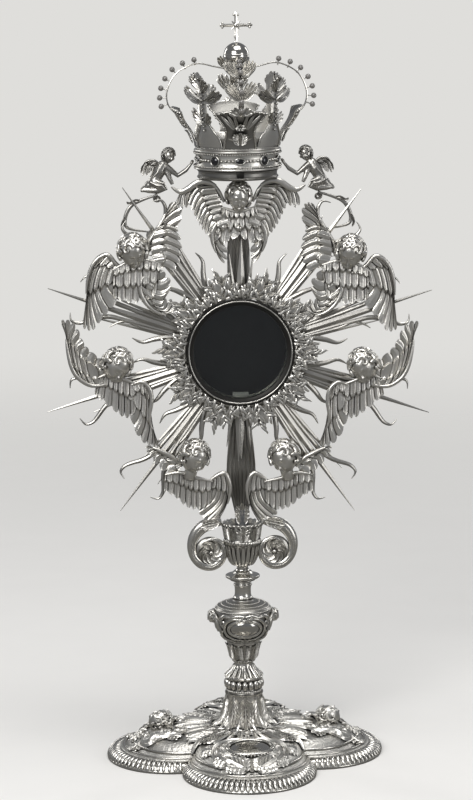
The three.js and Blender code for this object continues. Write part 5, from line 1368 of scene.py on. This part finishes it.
def model_putti(head_radius):
    for word, side in (("left", -1), ("right", 1)):
        limbs = [[(x, y, z, LIMB_GAIN * half) for x, y, z, half in limb] for limb in PUTTO]
        body = strokes("body", limbs, ROUND)
        for x, y, r in ((94.4, 161.6, 1.9), (83, 169.4, 5.6), (44.4, 189.4, 1.8)):
            body = joined("body", [body, put(ball(r, 24, 16), at(x, y, 0))])
        select(body)
        skin = body.modifiers.new("skin", "REMESH")
        skin.mode = "VOXEL"
        skin.voxel_size = 0.55
        bpy.ops.object.modifier_apply(modifier="skin")
        soft = body.modifiers.new("soft", "SMOOTH")
        soft.factor = 0.6
        soft.iterations = 5
        bpy.ops.object.modifier_apply(modifier="soft")
        face = put(child_head("head", head_radius), at(68, 195.6, 0.6) @ spun(14) @ spun(-34, "Y"))
        plumes = wing([(76, 186), (82, 191), (90, 190), (96, 183)], [(95, 177), (91, 176), (86, 178),
            (80, 181)], (4, 3), 0.9, 0.8, 0.4, 1.2)
        put(plumes, at(0, 0, -3.4))
        cloth = strokes("drapery", [
            [(84, 173, 4.2, 1.3), (78, 170, 6.4, 1.6), (72, 168.6, 6.8, 1.2)],
            [(86, 170, 4, 1.3), (80, 167, 6.6, 1.5), (74, 166.4, 7, 1.0)],
            [(76, 188, 3.4, 1.0), (79, 180, 5.8, 1.4), (84, 174, 4.6, 1.2)],
        ], ROUND)
        whole = joined("putto", [body, face, plumes, cloth])
        if side < 0:
            flipped(whole)
        facing(whole, 4.5)
        silver_piece(whole, "putto_" + word, material="dull_shaded_silver", crease=60)

        line = [(-80, 157), (-93, 153), (-104, 148), (-110, 140), (-112, 130), (-107, 124), (-84, 120)]
        ribbon = tapered([(*point, 1.2) for point in line], 2.0, 40, 0.4, 0.5)
        knob = [(x, y, 1.2, 1.3) for x, y in spiral(-79.4, 153.4, 4.2, 0.8, 90, 1.4)]
        leaf = [tapered([(-96, 151, 1.4), (-101, 152, 2.6), (-107, 149, 2), (-110, 151, 2)], 1.6, 10),
            tapered([(-110, 137, 1.4), (-113, 133, 2.4), (-115, 127, 2), (-113, 122, 2)], 1.5, 10)]
        scroll = strokes("scroll", [ribbon], BAND)
        relief = strokes("relief", [knob, *leaf], LEAF)
        band = facing(joined("scroll", [scroll, relief]), 4.6)
        pad = bar("pad", (-86, 1.4, SUN_Z + 117), (-86, 6.4, SUN_Z + 117), 5.2)
        whole = joined("putto_scroll", [band, pad])
        if side > 0:
            flipped(whole)
        silver_piece(whole, "putto_scroll_" + word, material="dull_shaded_silver")


def model_volutes():
    path = [(-21, -172, 4.2), (-30, -174, 6.2), (-41, -178.6, 6.4), (-48.6, -187.6, 5.6), (-51.4, -199, 4.4),
        (-48.4, -210, 4.1), (-40.6, -217.4, 4.2), (-30.6, -218.6, 4.2), (-22.4, -213.4, 4.0),
        (-18.8, -204, 3.6), (-22, -194.8, 3.0), (-30.6, -190.6, 2.2), (-37, -193, 1.2)]
    turns = smooth_line(path, 72)
    band = [(x, y, 2.2 + 2.2 * i / 71, half) for i, (x, y, half) in enumerate(turns)]
    groove = [(x, y, 3.6 + 2.2 * i / 71 + 0.36 * half, 0.55) for i, (x, y, half) in enumerate(turns[4:-4])]
    leaves = []
    for k in range(8):
        path = []
        for reach, bend, z in ((2.2, 0.0, 5.6), (5.6, 0.35, 6.2), (9.6, 0.85, 5.4), (12.6, 1.6, 3.4)):
            a = 2 * math.pi * k / 8 + bend
            path.append((-32 + reach * math.cos(a), -204 + reach * math.sin(a), z))
        leaves.append(tapered(path, 2.7, 12, 0.15, 0.4, 12))
    leaves += moved(acanthus(20, 4.4, 4, 0.9, 1.2, 1.4), -23, -172.6, 6.2, 102)
    for word, side in (("left", -1), ("right", 1)):
        sheet = joined("volute", [strokes("volute", [band], BAND), strokes("groove", [groove], ROUND)])
        relief = strokes("leaves", leaves, LEAF)
        dome = [(0, 0.4), (15, 0.4), (15.6, 0.9), (15, 2), (13.4, 3), (8, 4.6), (0, 5.4)]
        ground = put(turned("ground", dome, 72, closed=False), at(-33, -204, 0))
        eye = put(ball(2.2, 20, 14), at(-32, -204, 6.4))
        parts = [coat(sheet, BRIGHT), coat(relief, CHASED), coat(ground, "dull_shaded_silver"), coat(eye, BRIGHT)]
        whole = facing(joined("volute", parts), ORNAMENT_Y + 1.4)
        if side > 0:
            flipped(whole)
        silver_piece(whole, "volute_" + word)
        low, high = span("volute_bolt_" + word)
        middle = (low + high) / 2
        ends = [(x, middle.y, middle.z) for x in (low.x + 0.02, high.x - 0.02)]
        shank = bar("shank", *ends, 1.2, 32)
        bead = put(ball(1.7, 24, 16), at(*middle))
        silver_piece(joined("bolt", [shank, bead]), "volute_bolt_" + word, material=BRIGHT)


def fluted(name, half, y, ribs, depth):
    """A tapering blade of upright ridges: half widths at heights."""
    lines = []
    for k in range(ribs):
        share = -1 + 2 * (k + 0.5) / ribs
        line = []
        for i in range(16):
            wide, z = curve_point(half, i / 15)
            line.append((share * wide, z, 0, max(wide / ribs * 1.12, 0.3)))
        lines.append(line)
    blade = strokes(name, lines, RAY)
    for vertex in blade.data.vertices:
        vertex.co.z *= depth
    return put(blade, at(0, y, 0) @ spun(90, "X"))


def model_supports():
    low, high = span("sun_stem")
    cup_top = span("socket_cup")[1].z
    half = [(wide, cup_top + z) for wide, z in ((5.4, -3), (5.7, 4), (10.4, 26), (13.8, 42), (14.4, 55),
        (13, 74), (11.2, 92))] + [(10, high.z - 8), (8, high.z - 2)]
    blade = coat(fluted("blade", half, 4.4, 7, 1.6), "shaded_unpolished_silver")
    tang = coat(bar("tang", (0, 0, low.z + 0.2), (0, 0, cup_top + 13.8), 6.9, 48), "filed_steel")
    spike = [(0, SUN_Z - z, 0, wide) for z, wide in ((57, 3.3), (76, 3.5), (94, 2.1), (109.5, 0.4))]
    spike = put(strokes("spike", [spike], RAY), at(0, -0.4, 0) @ spun(90, "X"))
    collar = []
    for k in range(5):
        a = math.radians(-56 + 28 * k)
        collar.append(tapered([(0, 0, 0), (5 * math.sin(a), 8, 0.8), (8 * math.sin(a), 15, 1.6)], 1.8, 8))
    collar += moved(acanthus(24, 6, 4, 1.2, 1.8, 1.7), 0, 0, 1.2)
    sprig = put(strokes("sprig", collar, LEAF), at(0, -3.4, cup_top - 3) @ spun(90, "X"))
    trimmings = [coat(spike, BRIGHT), coat(sprig, CHASED)]
    silver_piece(joined("sun_stem", [blade, tang, *trimmings]), "sun_stem")

    low, high = span("crown_post")
    half = [(wide, low.z + z) for wide, z in ((5.2, 0.4), (7.6, 6), (10.8, 14), (10.9, 34), (10.8, 52),
        (8, 66), (5.4, 80), (5.3, 100))] + [(5.3, 588.6)]
    post = fluted("post", half, 5.6, 5, 1.7)
    stud = bar("stud", (0, 4.5, 584), (0, 4.5, high.z), 3, 32)
    parts = [coat(post, "shaded_unpolished_silver"), coat(stud, "filed_steel")]
    silver_piece(joined("crown_post", parts), "crown_post")


# Crown

BAND_HEIGHT = 19.4
WALL_HEIGHT = 13  # drawn-out wall above the band that carries petals and leaves
PETAL_HALF, PETAL_CREST = 25.6, 3.4


def sheet(name, halves, length, thickness, rows=28, columns=24, dish=0.0, crest=0.0):
    """Sheet metal that lies along +Y: half widths at shares of its length, hollowed along its middle, its
    end rising to a crest."""
    deselect()
    bpy.ops.mesh.primitive_grid_add(x_subdivisions=columns, y_subdivisions=rows, size=2)
    obj = bpy.context.active_object
    obj.name = name
    for vertex in obj.data.vertices:
        x, y, _ = vertex.co
        t = (y + 1) / 2
        half, top = curve_point(halves, t)
        rise = crest * math.cos(math.pi * x / 2) * t**3
        hollow = -dish * (1 - x * x) * math.sin(math.pi * min(t * 1.1, 1))
        vertex.co = (x * half, top * length + rise, hollow)
    thick = obj.modifiers.new("thickness", "SOLIDIFY")
    thick.thickness = thickness
    thick.offset = -1
    bpy.ops.object.modifier_apply(modifier="thickness")
    return obj


def spray(root, tips, half=2.4, lift=1.6, curl=2.6):
    """Broad lobes that grow from one place on a stem and open side by side."""
    (x0, y0), lines = root, []
    for x, y in tips:
        bow = 0.22 * abs(x - x0)
        lines.append(tapered([(x0, y0, 0.9), (x0 + 0.4 * (x - x0), y0 + 0.5 * (y - y0) - bow, lift),
            (x0 + 0.85 * (x - x0), y0 + 0.84 * (y - y0) - 0.4 * bow, lift + 0.4 * curl),
            (x, y, lift + curl)], half, 12, 0.1, 0.5, 10 * (1 if x > x0 else -1)))
    return lines


def crest_leaf(length):
    """A stem with two pairs of spreading leaves that opens into a fan of lobes."""
    fan = [(0, 1.0), (4, 0.985), (7.4, 0.955), (8.8, 0.91)]
    middle = [(16, 0.825), (20.4, 0.81), (22.4, 0.77), (20.6, 0.73), (15.4, 0.705)]
    low = [(6.4, 0.5), (9.2, 0.46), (9.4, 0.4)]
    lines = []
    for side in (-1, 1):
        for (x, y), tips, half in (((0, 0.77), fan, 2.3), ((1.6, 0.66), middle, 2.1),
                ((2.4, 0.33), low, 1.9)):
            lines += spray((side * x, y * length), [(side * a, b * length) for a, b in tips], half)
    return lines


def model_drum():
    low = span("crown_drum")[0]
    wall = [(r, low.z + z) for r, z in ((0, 0), (38.6, 0), (39.8, 0.8), (40.2, 1.8), (39.4, 2.8),
        (38.8, 3.4), (38.8, 6.6), (39.6, 7.4), (39.8, 8.4), (39.2, 9.3), (37.5, 9.3), (37.5, 2.5), (0, 2.5))]
    drum = coat(turned("drum", wall, 128, closed=False), "shaded_unpolished_silver")
    # A near black block in the drum's front stands for its slot: painted shade
    slot = block((-3.4, -40.3, low.z + 3.6), (3.6, -38.4, low.z + 9.2), 0.1)
    silver_piece(joined("crown_drum", [drum, coat(slot, "near_black_silver")]), "crown_drum")


def model_circlet(seed):
    base, top = BAND_Z, BAND_Z + BAND_HEIGHT
    wall_top = top + WALL_HEIGHT
    ring = turned("band", rounded([(39.2, base), (42.8, base), (43.3, base + 0.8), (42.8, base + 2.2),
        (41.2, base + 3.2), (40.6, base + 5), (40.6, top - 5), (41.2, top - 3.2), (42.8, top - 2.4),
        (43.3, top - 1), (42.6, top), (40.8, top + 1), (42, top + 6), (44.6, wall_top - 1),
        (45.2, wall_top - 0.2), (43.4, wall_top), (39, top + 4), (38.2, top + 1), (39.2, base)], 1)[:-1],
        144)
    parts = [coat(ring, CHASED)]
    for z in (base + 3.4, top - 3.4):
        parts.append(bead_ring(42.9, z, 110, 0.85, BRIGHT))

    band_face = [(40.7, base + 3), (40.7, top - 3)]
    stones = []
    for k in range(5):
        for angle, wide, tall in ((72 * k, 4.4, 2.4), (72 * k + 36, 4.1, 4.3)):
            line = [(x, y + 6.7, 0.9, 0.75) for x, y, _, _ in oval_line(wide + 0.5, tall + 0.5, 0, 1, 33)]
            parts.append(banded("collet", [line], band_face, 1, ROUND, BRIGHT, angle))
            setting = spun(angle) @ at(0, -40.9, (base + top) / 2)
            cut = stretched(wide, 2.3 if tall > 3 else 1.2, tall)
            stones.append(put(ball(1.0, 24, 14), setting @ cut))
        for shift in (9.8, 14.8, 19.8, 25.6):
            for flip in (-1, 1):
                place = spun(72 * k + flip * shift) @ at(0, -41.4, (base + top) / 2)
                parts.append(coat(put(ball(1.5, 14, 9), place), BRIGHT))
    parts.append(bead_ring(41.2, top + 2.2, 120, 0.6, BRIGHT))

    # Petals to the front, sides and back: dished sheet between U-shaped cut-outs, edged with a bright roll
    petal_line = rounded([(42.4, top + 3), (44.6, wall_top - 2), (47.6, wall_top + 5), (54, top + 26),
        (59, top + 33), (61.6, top + 38)], 2)
    petal_length = line_length(petal_line)
    halves = [(16, 0), (14.8, 0.22), (13.6, 0.4), (14.6, 0.56), (18.4, 0.74), (23.4, 0.9), (PETAL_HALF, 1.0)]
    petal = sheet("petal", halves, petal_length, 1.3, dish=1.6, crest=PETAL_CREST)
    outline = [(x, y * petal_length, 0.2, 1.0) for x, y in smooth_line(halves, 22)]
    rim = []
    for i in range(33):
        x = PETAL_HALF - 2 * PETAL_HALF * i / 32
        rim.append((x, petal_length + PETAL_CREST * math.cos(math.pi * x / (2 * PETAL_HALF)), 0.2, 1.1))
    roll = [outline + rim[1:-1] + [(-x, y, z, h) for x, y, z, h in reversed(outline)]]
    relief = moved(acanthus(16, 6.5, 4, 1.0, 1.6, 1.5), 0, 3, 0.2)
    middle = petal_length * 0.6
    for k in range(8):
        relief += moved([tapered([(0, 1, 0.6), (0, 3, 1.5), (0, 5, 0.9)], 1.35, 7)], 0, middle, 0, 45 * k)
    for flip in (-1, 1):
        for x, y in ((7, 1.0), (13, 0.98), (19, 0.96)):
            relief.append(tapered([(flip * 0.3 * x, middle - 3, 0.2), (flip * 0.55 * x, middle + 4, 0.9),
                (flip * x, y * petal_length, 0.9)], 1.7, 9))
    turns = lobe_places(4)
    for part, section, finish_name in ((petal, None, "shaded_unpolished_silver"), (roll, ROUND, BRIGHT),
            (relief, LEAF, CHASED)):
        one = part if section is None else strokes("petal", part, section)
        parts.append(coat(copies("petals", wrapped(one, petal_line), turns), finish_name))
    edge_seeds = [(side * x, y, 1.6) for x, y, _, _ in outline[9::3] for side in (-1, 1)]
    edge_seeds += [(x, y, 1.8) for x, y, _, _ in rim[2:-2:3]] + [(0, middle, 1.4)]
    beads = copies("seeds", ball(seed, 12, 8), [at(*p) for p in edge_seeds])
    parts.append(coat(copies("seeds", wrapped(beads, petal_line), turns), BRIGHT))

    # Tall leaves on the diagonals
    leaf_line = rounded([(43, top + 4), (44.8, wall_top - 1), (47, top + 24), (48.6, top + 40),
        (50, top + 58), (53.4, top + 73)], 2)
    leaf_length = line_length(leaf_line)
    blade_halves = [(15.6, 0), (15, 0.1), (13, 0.17), (9, 0.24), (5.6, 0.34), (4, 0.46), (3.6, 0.6),
        (4.4, 0.74), (4.6, 0.86), (2.4, 0.96), (0.6, 0.99)]
    blade = sheet("leaf", blade_halves, leaf_length, 1.4, 40, 14, dish=-0.8)
    edge = [(x, y * leaf_length, 0.2, 1.0) for x, y in smooth_line(blade_halves, 30)[:14]]
    rolls = strokes("edges", [edge, [(-x, y, z, h) for x, y, z, h in edge]], ROUND)
    for part, finish_name in ((blade, CHASED), (rolls, BRIGHT)):
        parts.append(coat(copies("leaves", wrapped(part, leaf_line), lobe_places(4, 45)), finish_name))
    parts.append(banded("leaves", crest_leaf(leaf_length), leaf_line, 4, LEAF, CHASED, 45))
    ribs = copies("seeds", ball(seed * 1.1, 12, 8), [at(0, 17 + 4.2 * k, 2.6) for k in range(10)])
    parts.append(coat(copies("seeds", wrapped(ribs, leaf_line), lobe_places(4, 45)), "dull_shaded_silver"))
    circlet = joined("circlet", parts)
    finish(joined("crown_stones", stones), "dark_stone", material="dark_garnet")
    silver_piece(circlet, "crown_circlet", crease=50)


def model_orb(orb):
    low, high = span("crown_orb")
    middle = (low.z + high.z) / 2
    globe = put(ball(orb - 0.1, 96, 64), at(0, 0, middle))
    belt = turned("belt", rounded([(orb - 1, middle - 1.7), (orb, middle - 1.5), (orb - 0.15, middle - 0.6),
        (orb - 0.15, middle + 0.6), (orb, middle + 1.5), (orb - 1, middle + 1.7)], 1), 96)
    silver_piece(joined("crown_orb", [coat(globe, "mirror_silver"), coat(belt, BRIGHT)]), "crown_orb")


def model_cross():
    low, high = span("crown_cross")
    arm_z = low.z + 29.4 * 0.55
    upright = [(0, z, 0, wide) for z, wide in ((low.z + 0.2, 2.0), (low.z + 2.4, 1.2), (low.z + 5, 2.4),
        (low.z + 7, 1.3), (arm_z, 1.6), (high.z - 5, 1.5), (high.z - 3, 2.4), (high.z, 0.4))]
    arms = [(x, arm_z, 0, wide) for x, wide in ((-16.3, 0.4), (-13.4, 2.4), (-11, 1.5), (0, 1.6), (11, 1.5),
        (13.4, 2.4), (16.3, 0.4))]
    shaft = strokes("cross", [upright, arms], RAY)
    balls = [at(x, arm_z + z, 0) for x in (-13.4, 13.4) for z in (2, -2)]
    balls += [at(x, high.z - 3, 0) for x in (2, -2)]
    glint = [tapered([(0, arm_z, 0), (3 * c, arm_z + 3 * s, 0), (6 * c, arm_z + 6 * s, 0)], 0.8, 6)
        for c, s in ((0.7, 0.7), (-0.7, 0.7), (0.7, -0.7), (-0.7, -0.7))]
    parts = [shaft, copies("balls", ball(1.25, 16, 10), balls), strokes("glints", glint, RAY)]
    cross = put(joined("cross", parts), spun(90, "X"))
    heart = put(ball(2.4, 24, 16), at(0, -0.6, arm_z) @ stretched(1, 0.7, 1))
    silver_piece(joined("crown_cross", [cross, heart]), "crown_cross", material=BRIGHT)


def model_arches(pearl):
    profile = [(60, 652.6), (67.5, 662), (68, 676), (59, 692), (40, 701), (22, 698), (4, 694)]
    profile = smooth_line(profile, 40)
    length = line_length(profile)
    band = strokes("arch", [[(0, length * i / 60, 0, 2.7) for i in range(61)]], SHEET)
    band_leaves = []
    for flip in (-1, 1):
        for y, tips, curl in ((5, [(6, 14), (9, 12), (11, 8)], 1.0),
                (20, [(6.4, 35), (10.4, 36.4), (13.6, 35), (14.6, 30.6), (12, 27)], 2.6),
                (42, [(5.6, 60), (9.6, 62), (13, 61), (15, 57), (14.4, 52), (11.6, 48)], 5.0)):
            band_leaves += spray((flip * 1.2, y), [(flip * x, far) for x, far in tips], 1.9, 1.6, curl)
    relief = strokes("arch leaves", band_leaves, LEAF)
    turns = lobe_places(4)
    bands = coat(copies("arches", wrapped(band, profile), turns), BRIGHT)
    reliefs = coat(copies("leaves", wrapped(relief, profile), turns[::2]), CHASED)
    settings = [at(0, y, 1.8) @ stretched(1, 1.15, 0.8) for y in (37, 53)]
    gems = copies("gems", ball(2.7, 20, 14), settings)
    gems = copies("gems", wrapped(gems, profile), turns[::2])
    finish(gems, "dark_stone", material="dark_garnet").name = "arch_stones"
    pearls, cups = [], []
    for i in range(7):
        t = 0.17 + 0.49 * i / 6
        (r0, z0), (r1, z1) = curve_point(profile, t - 0.005), curve_point(profile, t + 0.005)
        step = math.dist((r0, z0), (r1, z1))
        out = Vector(((z1 - z0) / step, 0, -(r1 - r0) / step))
        foot = Vector(((r0 + r1) / 2, 0, (z0 + z1) / 2))
        turn = out.to_track_quat("Z", "Y").to_matrix().to_4x4()
        away = 7.2 - 3 * (i / 6) ** 1.6
        pearls.append(at(*(foot + out * away)) @ turn)
        cups.append(at(*(foot + out * (away - 6.4))) @ turn)
    holder = [(0, 0), (0.9, 0), (0.6, 0.8), (0.6, 3.6), (1.2, 4.2), (2.1, 4.6), (1.6, 4.8), (0, 4.4)]
    cup = copies("holders", turned("holder", holder, 20, closed=False), cups)
    drop = copies("pearls", ball(pearl, 28, 20), pearls)
    quarter = spun(-90)
    cups_all = coat(copies("holders", cup, [place @ quarter for place in turns]), BRIGHT)
    pearls_all = coat(copies("pearls", drop, [place @ quarter for place in turns]), "pearl_nacre")
    hub_low = span("crown_orb")[0].z - 6.3
    hub_line = [(r, hub_low + z) for r, z in ((0, 0), (4.4, 0), (6, 1.6), (5.2, 3), (6.4, 4.6), (5.6, 5.9),
        (0, 5.9))]
    hub = coat(turned("hub", rounded(hub_line, 1), 64, closed=False), BRIGHT)
    silver_piece(joined("crown_arches", [bands, reliefs, cups_all, hub]), "crown_arches")
    finish(pearls_all, "pearl", crease=80).name = "crown_pearls"


def model_crown(pearl, seed, orb):
    model_drum()
    model_circlet(seed)
    model_arches(pearl)
    model_orb(orb)
    model_cross()


def keep(node, material):
    """A construction piece that stays as it is and only gets its finish."""
    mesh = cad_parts[node].data
    mesh.materials.clear()
    mesh.materials.append(bpy.data.materials[material])
    for face in mesh.polygons:
        face.material_index = 0


# Studio


def soft_light(name, place, target, width, height, power):
    lamp = bpy.data.lights.new(name, "AREA")
    lamp.shape = "RECTANGLE"
    lamp.size = width
    lamp.size_y = height
    lamp.energy = power
    obj = placed(name, lamp)
    obj.location = place
    obj.rotation_euler = (Vector(target) - Vector(place)).to_track_quat("-Z", "Y").to_euler()


def build_stage(finishes, studio):
    # Matt studio paper; what the metal mirrors of it is darker than what the camera sees
    tree, shader, place = new_material("studio_paper", Roughness=0.9, Specular_IOR_Level=0.1)
    tooth = add_node(tree, "ShaderNodeTexNoise", {"Vector": place, "Scale": 1 / (90 * MM), "Detail": 3.0})
    shade = add_node(tree, "ShaderNodeMix", {0: tooth.outputs[0], 6: tuple(finishes.floor),
        7: srgb("f0eeea")}, data_type="RGBA")
    mirrored_ray = add_node(tree, "ShaderNodeLightPath").outputs["Is Glossy Ray"]
    seen = add_node(tree, "ShaderNodeMix", {0: mirrored_ray, 6: shade.outputs[2], 7: srgb("7c7b78")},
        data_type="RGBA")
    feed(shader, "Base Color", seen.outputs[2])
    reach = add_node(tree, "ShaderNodeVectorMath", {0: place}, operation="LENGTH")
    fade = add_node(tree, "ShaderNodeMapRange", {"Value": reach.outputs["Value"], "From Min": 0.45,
        "From Max": 2.7}, interpolation_type="SMOOTHSTEP")
    clear = add_node(tree, "ShaderNodeBsdfTransparent")
    surface = add_node(tree, "ShaderNodeMixShader", {0: fade.outputs[0], 1: shader.outputs[0],
        2: clear.outputs[0]})
    tree.links.new(surface.outputs[0], tree.nodes["Material Output"].inputs["Surface"])
    deselect()
    bpy.ops.mesh.primitive_circle_add(vertices=128, radius=6, fill_type="NGON", location=(0, 0, 0))
    floor = bpy.context.active_object
    floor.name = "studio_floor"
    floor.data.materials.append(bpy.data.materials["studio_paper"])

    # A pale even room behind the paper; in the metal it shows as a dim one, as in a studio with grey screens
    world = bpy.data.worlds.new("studio")
    bpy.context.scene.world = world
    world.use_nodes = True
    tree = world.node_tree
    seen = add_node(tree, "ShaderNodeLightPath").outputs["Is Camera Ray"]
    room = add_node(tree, "ShaderNodeMix", {0: seen, 6: srgb("7e8084"), 7: srgb("dfdedb")}, data_type="RGBA")
    tree.links.new(room.outputs[2], tree.nodes["Background"].inputs["Color"])
    tree.nodes["Background"].inputs["Strength"].default_value = 1.0
    middle = (0, 0, 0.4)
    soft_light("key", (-1.1, -2.2, 1.7), middle, 1.5, 1.3, 44)
    soft_light("fill", (2.0, -1.7, 0.8), middle, 0.9, 1.5, 13)
    soft_light("overhead", (0.2, -0.5, 2.4), middle, 1.4, 1.1, 26)
    soft_light("rim_left", (-1.6, 1.5, 1.1), middle, 0.4, 1.4, 9)
    soft_light("rim_right", (1.7, 1.6, 1.2), middle, 0.4, 1.4, 8)

    camera = bpy.data.cameras.new("camera")
    camera.lens = studio.lens
    camera.sensor_width = 36
    camera.shift_x = -0.005
    camera.clip_end = 100
    obj = placed("camera", camera)
    side = math.radians(-3.5)
    place = Vector((studio.distance * math.sin(side), -studio.distance * math.cos(side), studio.height))
    look = (Vector((0, 0, 0.366)) - place).to_track_quat("-Z", "Y")
    obj.location = place
    obj.rotation_euler = (look.to_matrix() @ Matrix.Rotation(math.radians(-0.7), 3, "Z")).to_euler()
    bpy.context.scene.camera = obj
    bpy.context.scene.view_settings.view_transform = "Standard"


# Operators and panel


class MONSTRANCE_OT_finishes(bpy.types.Operator):
    """Makes the metals, glass, stones and pearls"""

    bl_idname = "monstrance.finishes"
    bl_label = "Finishes"

    def execute(self, context):
        make_finishes(sizes(context, "colours"))
        return {"FINISHED"}


class MONSTRANCE_OT_foot(bpy.types.Operator):
    """Models the four-lobed foot with its gadrooned border, cartouches and winged heads"""

    bl_idname = "monstrance.foot"
    bl_label = "Foot"

    def execute(self, context):
        model_foot()
        return {"FINISHED"}


class MONSTRANCE_OT_stem(bpy.types.Operator):
    """Models the turned stem from the trumpet to the cup"""

    bl_idname = "monstrance.stem"
    bl_label = "Stem"

    def execute(self, context):
        model_stem()
        return {"FINISHED"}


class MONSTRANCE_OT_case(bpy.types.Operator):
    """Models the glazed case, its rear door, hinge and turn-button"""

    bl_idname = "monstrance.case"
    bl_label = "Glazed case"

    def execute(self, context):
        model_case()
        return {"FINISHED"}


class MONSTRANCE_OT_glory(bpy.types.Operator):
    """Models the rays, the acanthus wreath and the two fluted supports"""

    bl_idname = "monstrance.glory"
    bl_label = "Glory"

    def execute(self, context):
        glory = sizes(context, "glory")
        model_glory(glory.reach / MM, glory.short_reach / MM, glory.ray_width / MM, glory.clumps)
        model_wreath(glory.wreath_reach / MM, glory.clumps)
        model_supports()
        return {"FINISHED"}


class MONSTRANCE_OT_figures(bpy.types.Operator):
    """Models the seven winged heads, the two putti and the scrolls that carry them"""

    bl_idname = "monstrance.figures"
    bl_label = "Figures"

    def execute(self, context):
        figures = sizes(context, "figures")
        model_cherubs(figures.head / MM, figures.top_head / MM)
        model_putti(figures.putto_head / MM)
        model_volutes()
        return {"FINISHED"}


class MONSTRANCE_OT_crown(bpy.types.Operator):
    """Models the crown with its stones, pearls, arches, orb and cross"""

    bl_idname = "monstrance.crown"
    bl_label = "Crown"

    def execute(self, context):
        crown = sizes(context, "crown")
        model_crown(crown.pearl / MM, crown.seed / MM, crown.orb / MM)
        return {"FINISHED"}


class MONSTRANCE_OT_fittings(bpy.types.Operator):
    """Gives the hidden fittings their finish"""

    bl_idname = "monstrance.fittings"
    bl_label = "Fittings"

    def execute(self, context):
        for node in ("tie_rod", "tie_rod_nut", "crown_nut"):
            keep(node, "filed_steel")
        for node in ("glass_clamp_ring", "lunette_rail", "hinge_pin"):
            keep(node, BRIGHT)
        return {"FINISHED"}


class MONSTRANCE_OT_stage(bpy.types.Operator):
    """Sets up the floor, lights and camera"""

    bl_idname = "monstrance.stage"
    bl_label = "Studio"

    def execute(self, context):
        build_stage(sizes(context, "colours"), sizes(context, "studio"))
        return {"FINISHED"}


STEPS = (
    MONSTRANCE_OT_finishes, MONSTRANCE_OT_foot, MONSTRANCE_OT_stem, MONSTRANCE_OT_case, MONSTRANCE_OT_glory,
    MONSTRANCE_OT_figures, MONSTRANCE_OT_crown, MONSTRANCE_OT_fittings, MONSTRANCE_OT_stage,
)
GROUPS = {"colours": FinishColours, "glory": GlorySizes, "figures": FigureSizes, "crown": CrownSizes,
          "studio": StudioSettings}


class MONSTRANCE_PT_panel(bpy.types.Panel):
    """Lists the steps and their settings"""

    bl_idname = "MONSTRANCE_PT_panel"
    bl_label = "Monstrance"
    bl_space_type = "VIEW_3D"
    bl_region_type = "UI"
    bl_category = "Monstrance"

    def draw(self, context):
        for step in STEPS:
            self.layout.operator(step.bl_idname)
        for group, settings in GROUPS.items():
            box = self.layout.box()
            for field in settings.__annotations__:
                box.prop(sizes(context, group), field)


def register():
    for group, settings in GROUPS.items():
        bpy.utils.register_class(settings)
        setattr(bpy.types.Scene, "monstrance_" + group, bpy.props.PointerProperty(type=settings))
    for kind in (*STEPS, MONSTRANCE_PT_panel):
        bpy.utils.register_class(kind)


def unregister():
    for kind in (MONSTRANCE_PT_panel, *reversed(STEPS)):
        bpy.utils.unregister_class(kind)
    for group, settings in GROUPS.items():
        delattr(bpy.types.Scene, "monstrance_" + group)
        bpy.utils.unregister_class(settings)


def main():
    register()
    bpy.ops.monstrance.finishes()
    bpy.ops.monstrance.foot()
    bpy.ops.monstrance.stem()
    bpy.ops.monstrance.case()
    bpy.ops.monstrance.glory()
    bpy.ops.monstrance.figures()
    bpy.ops.monstrance.crown()
    bpy.ops.monstrance.fittings()
    bpy.ops.monstrance.stage()


if __name__ == "__main__":
    main()
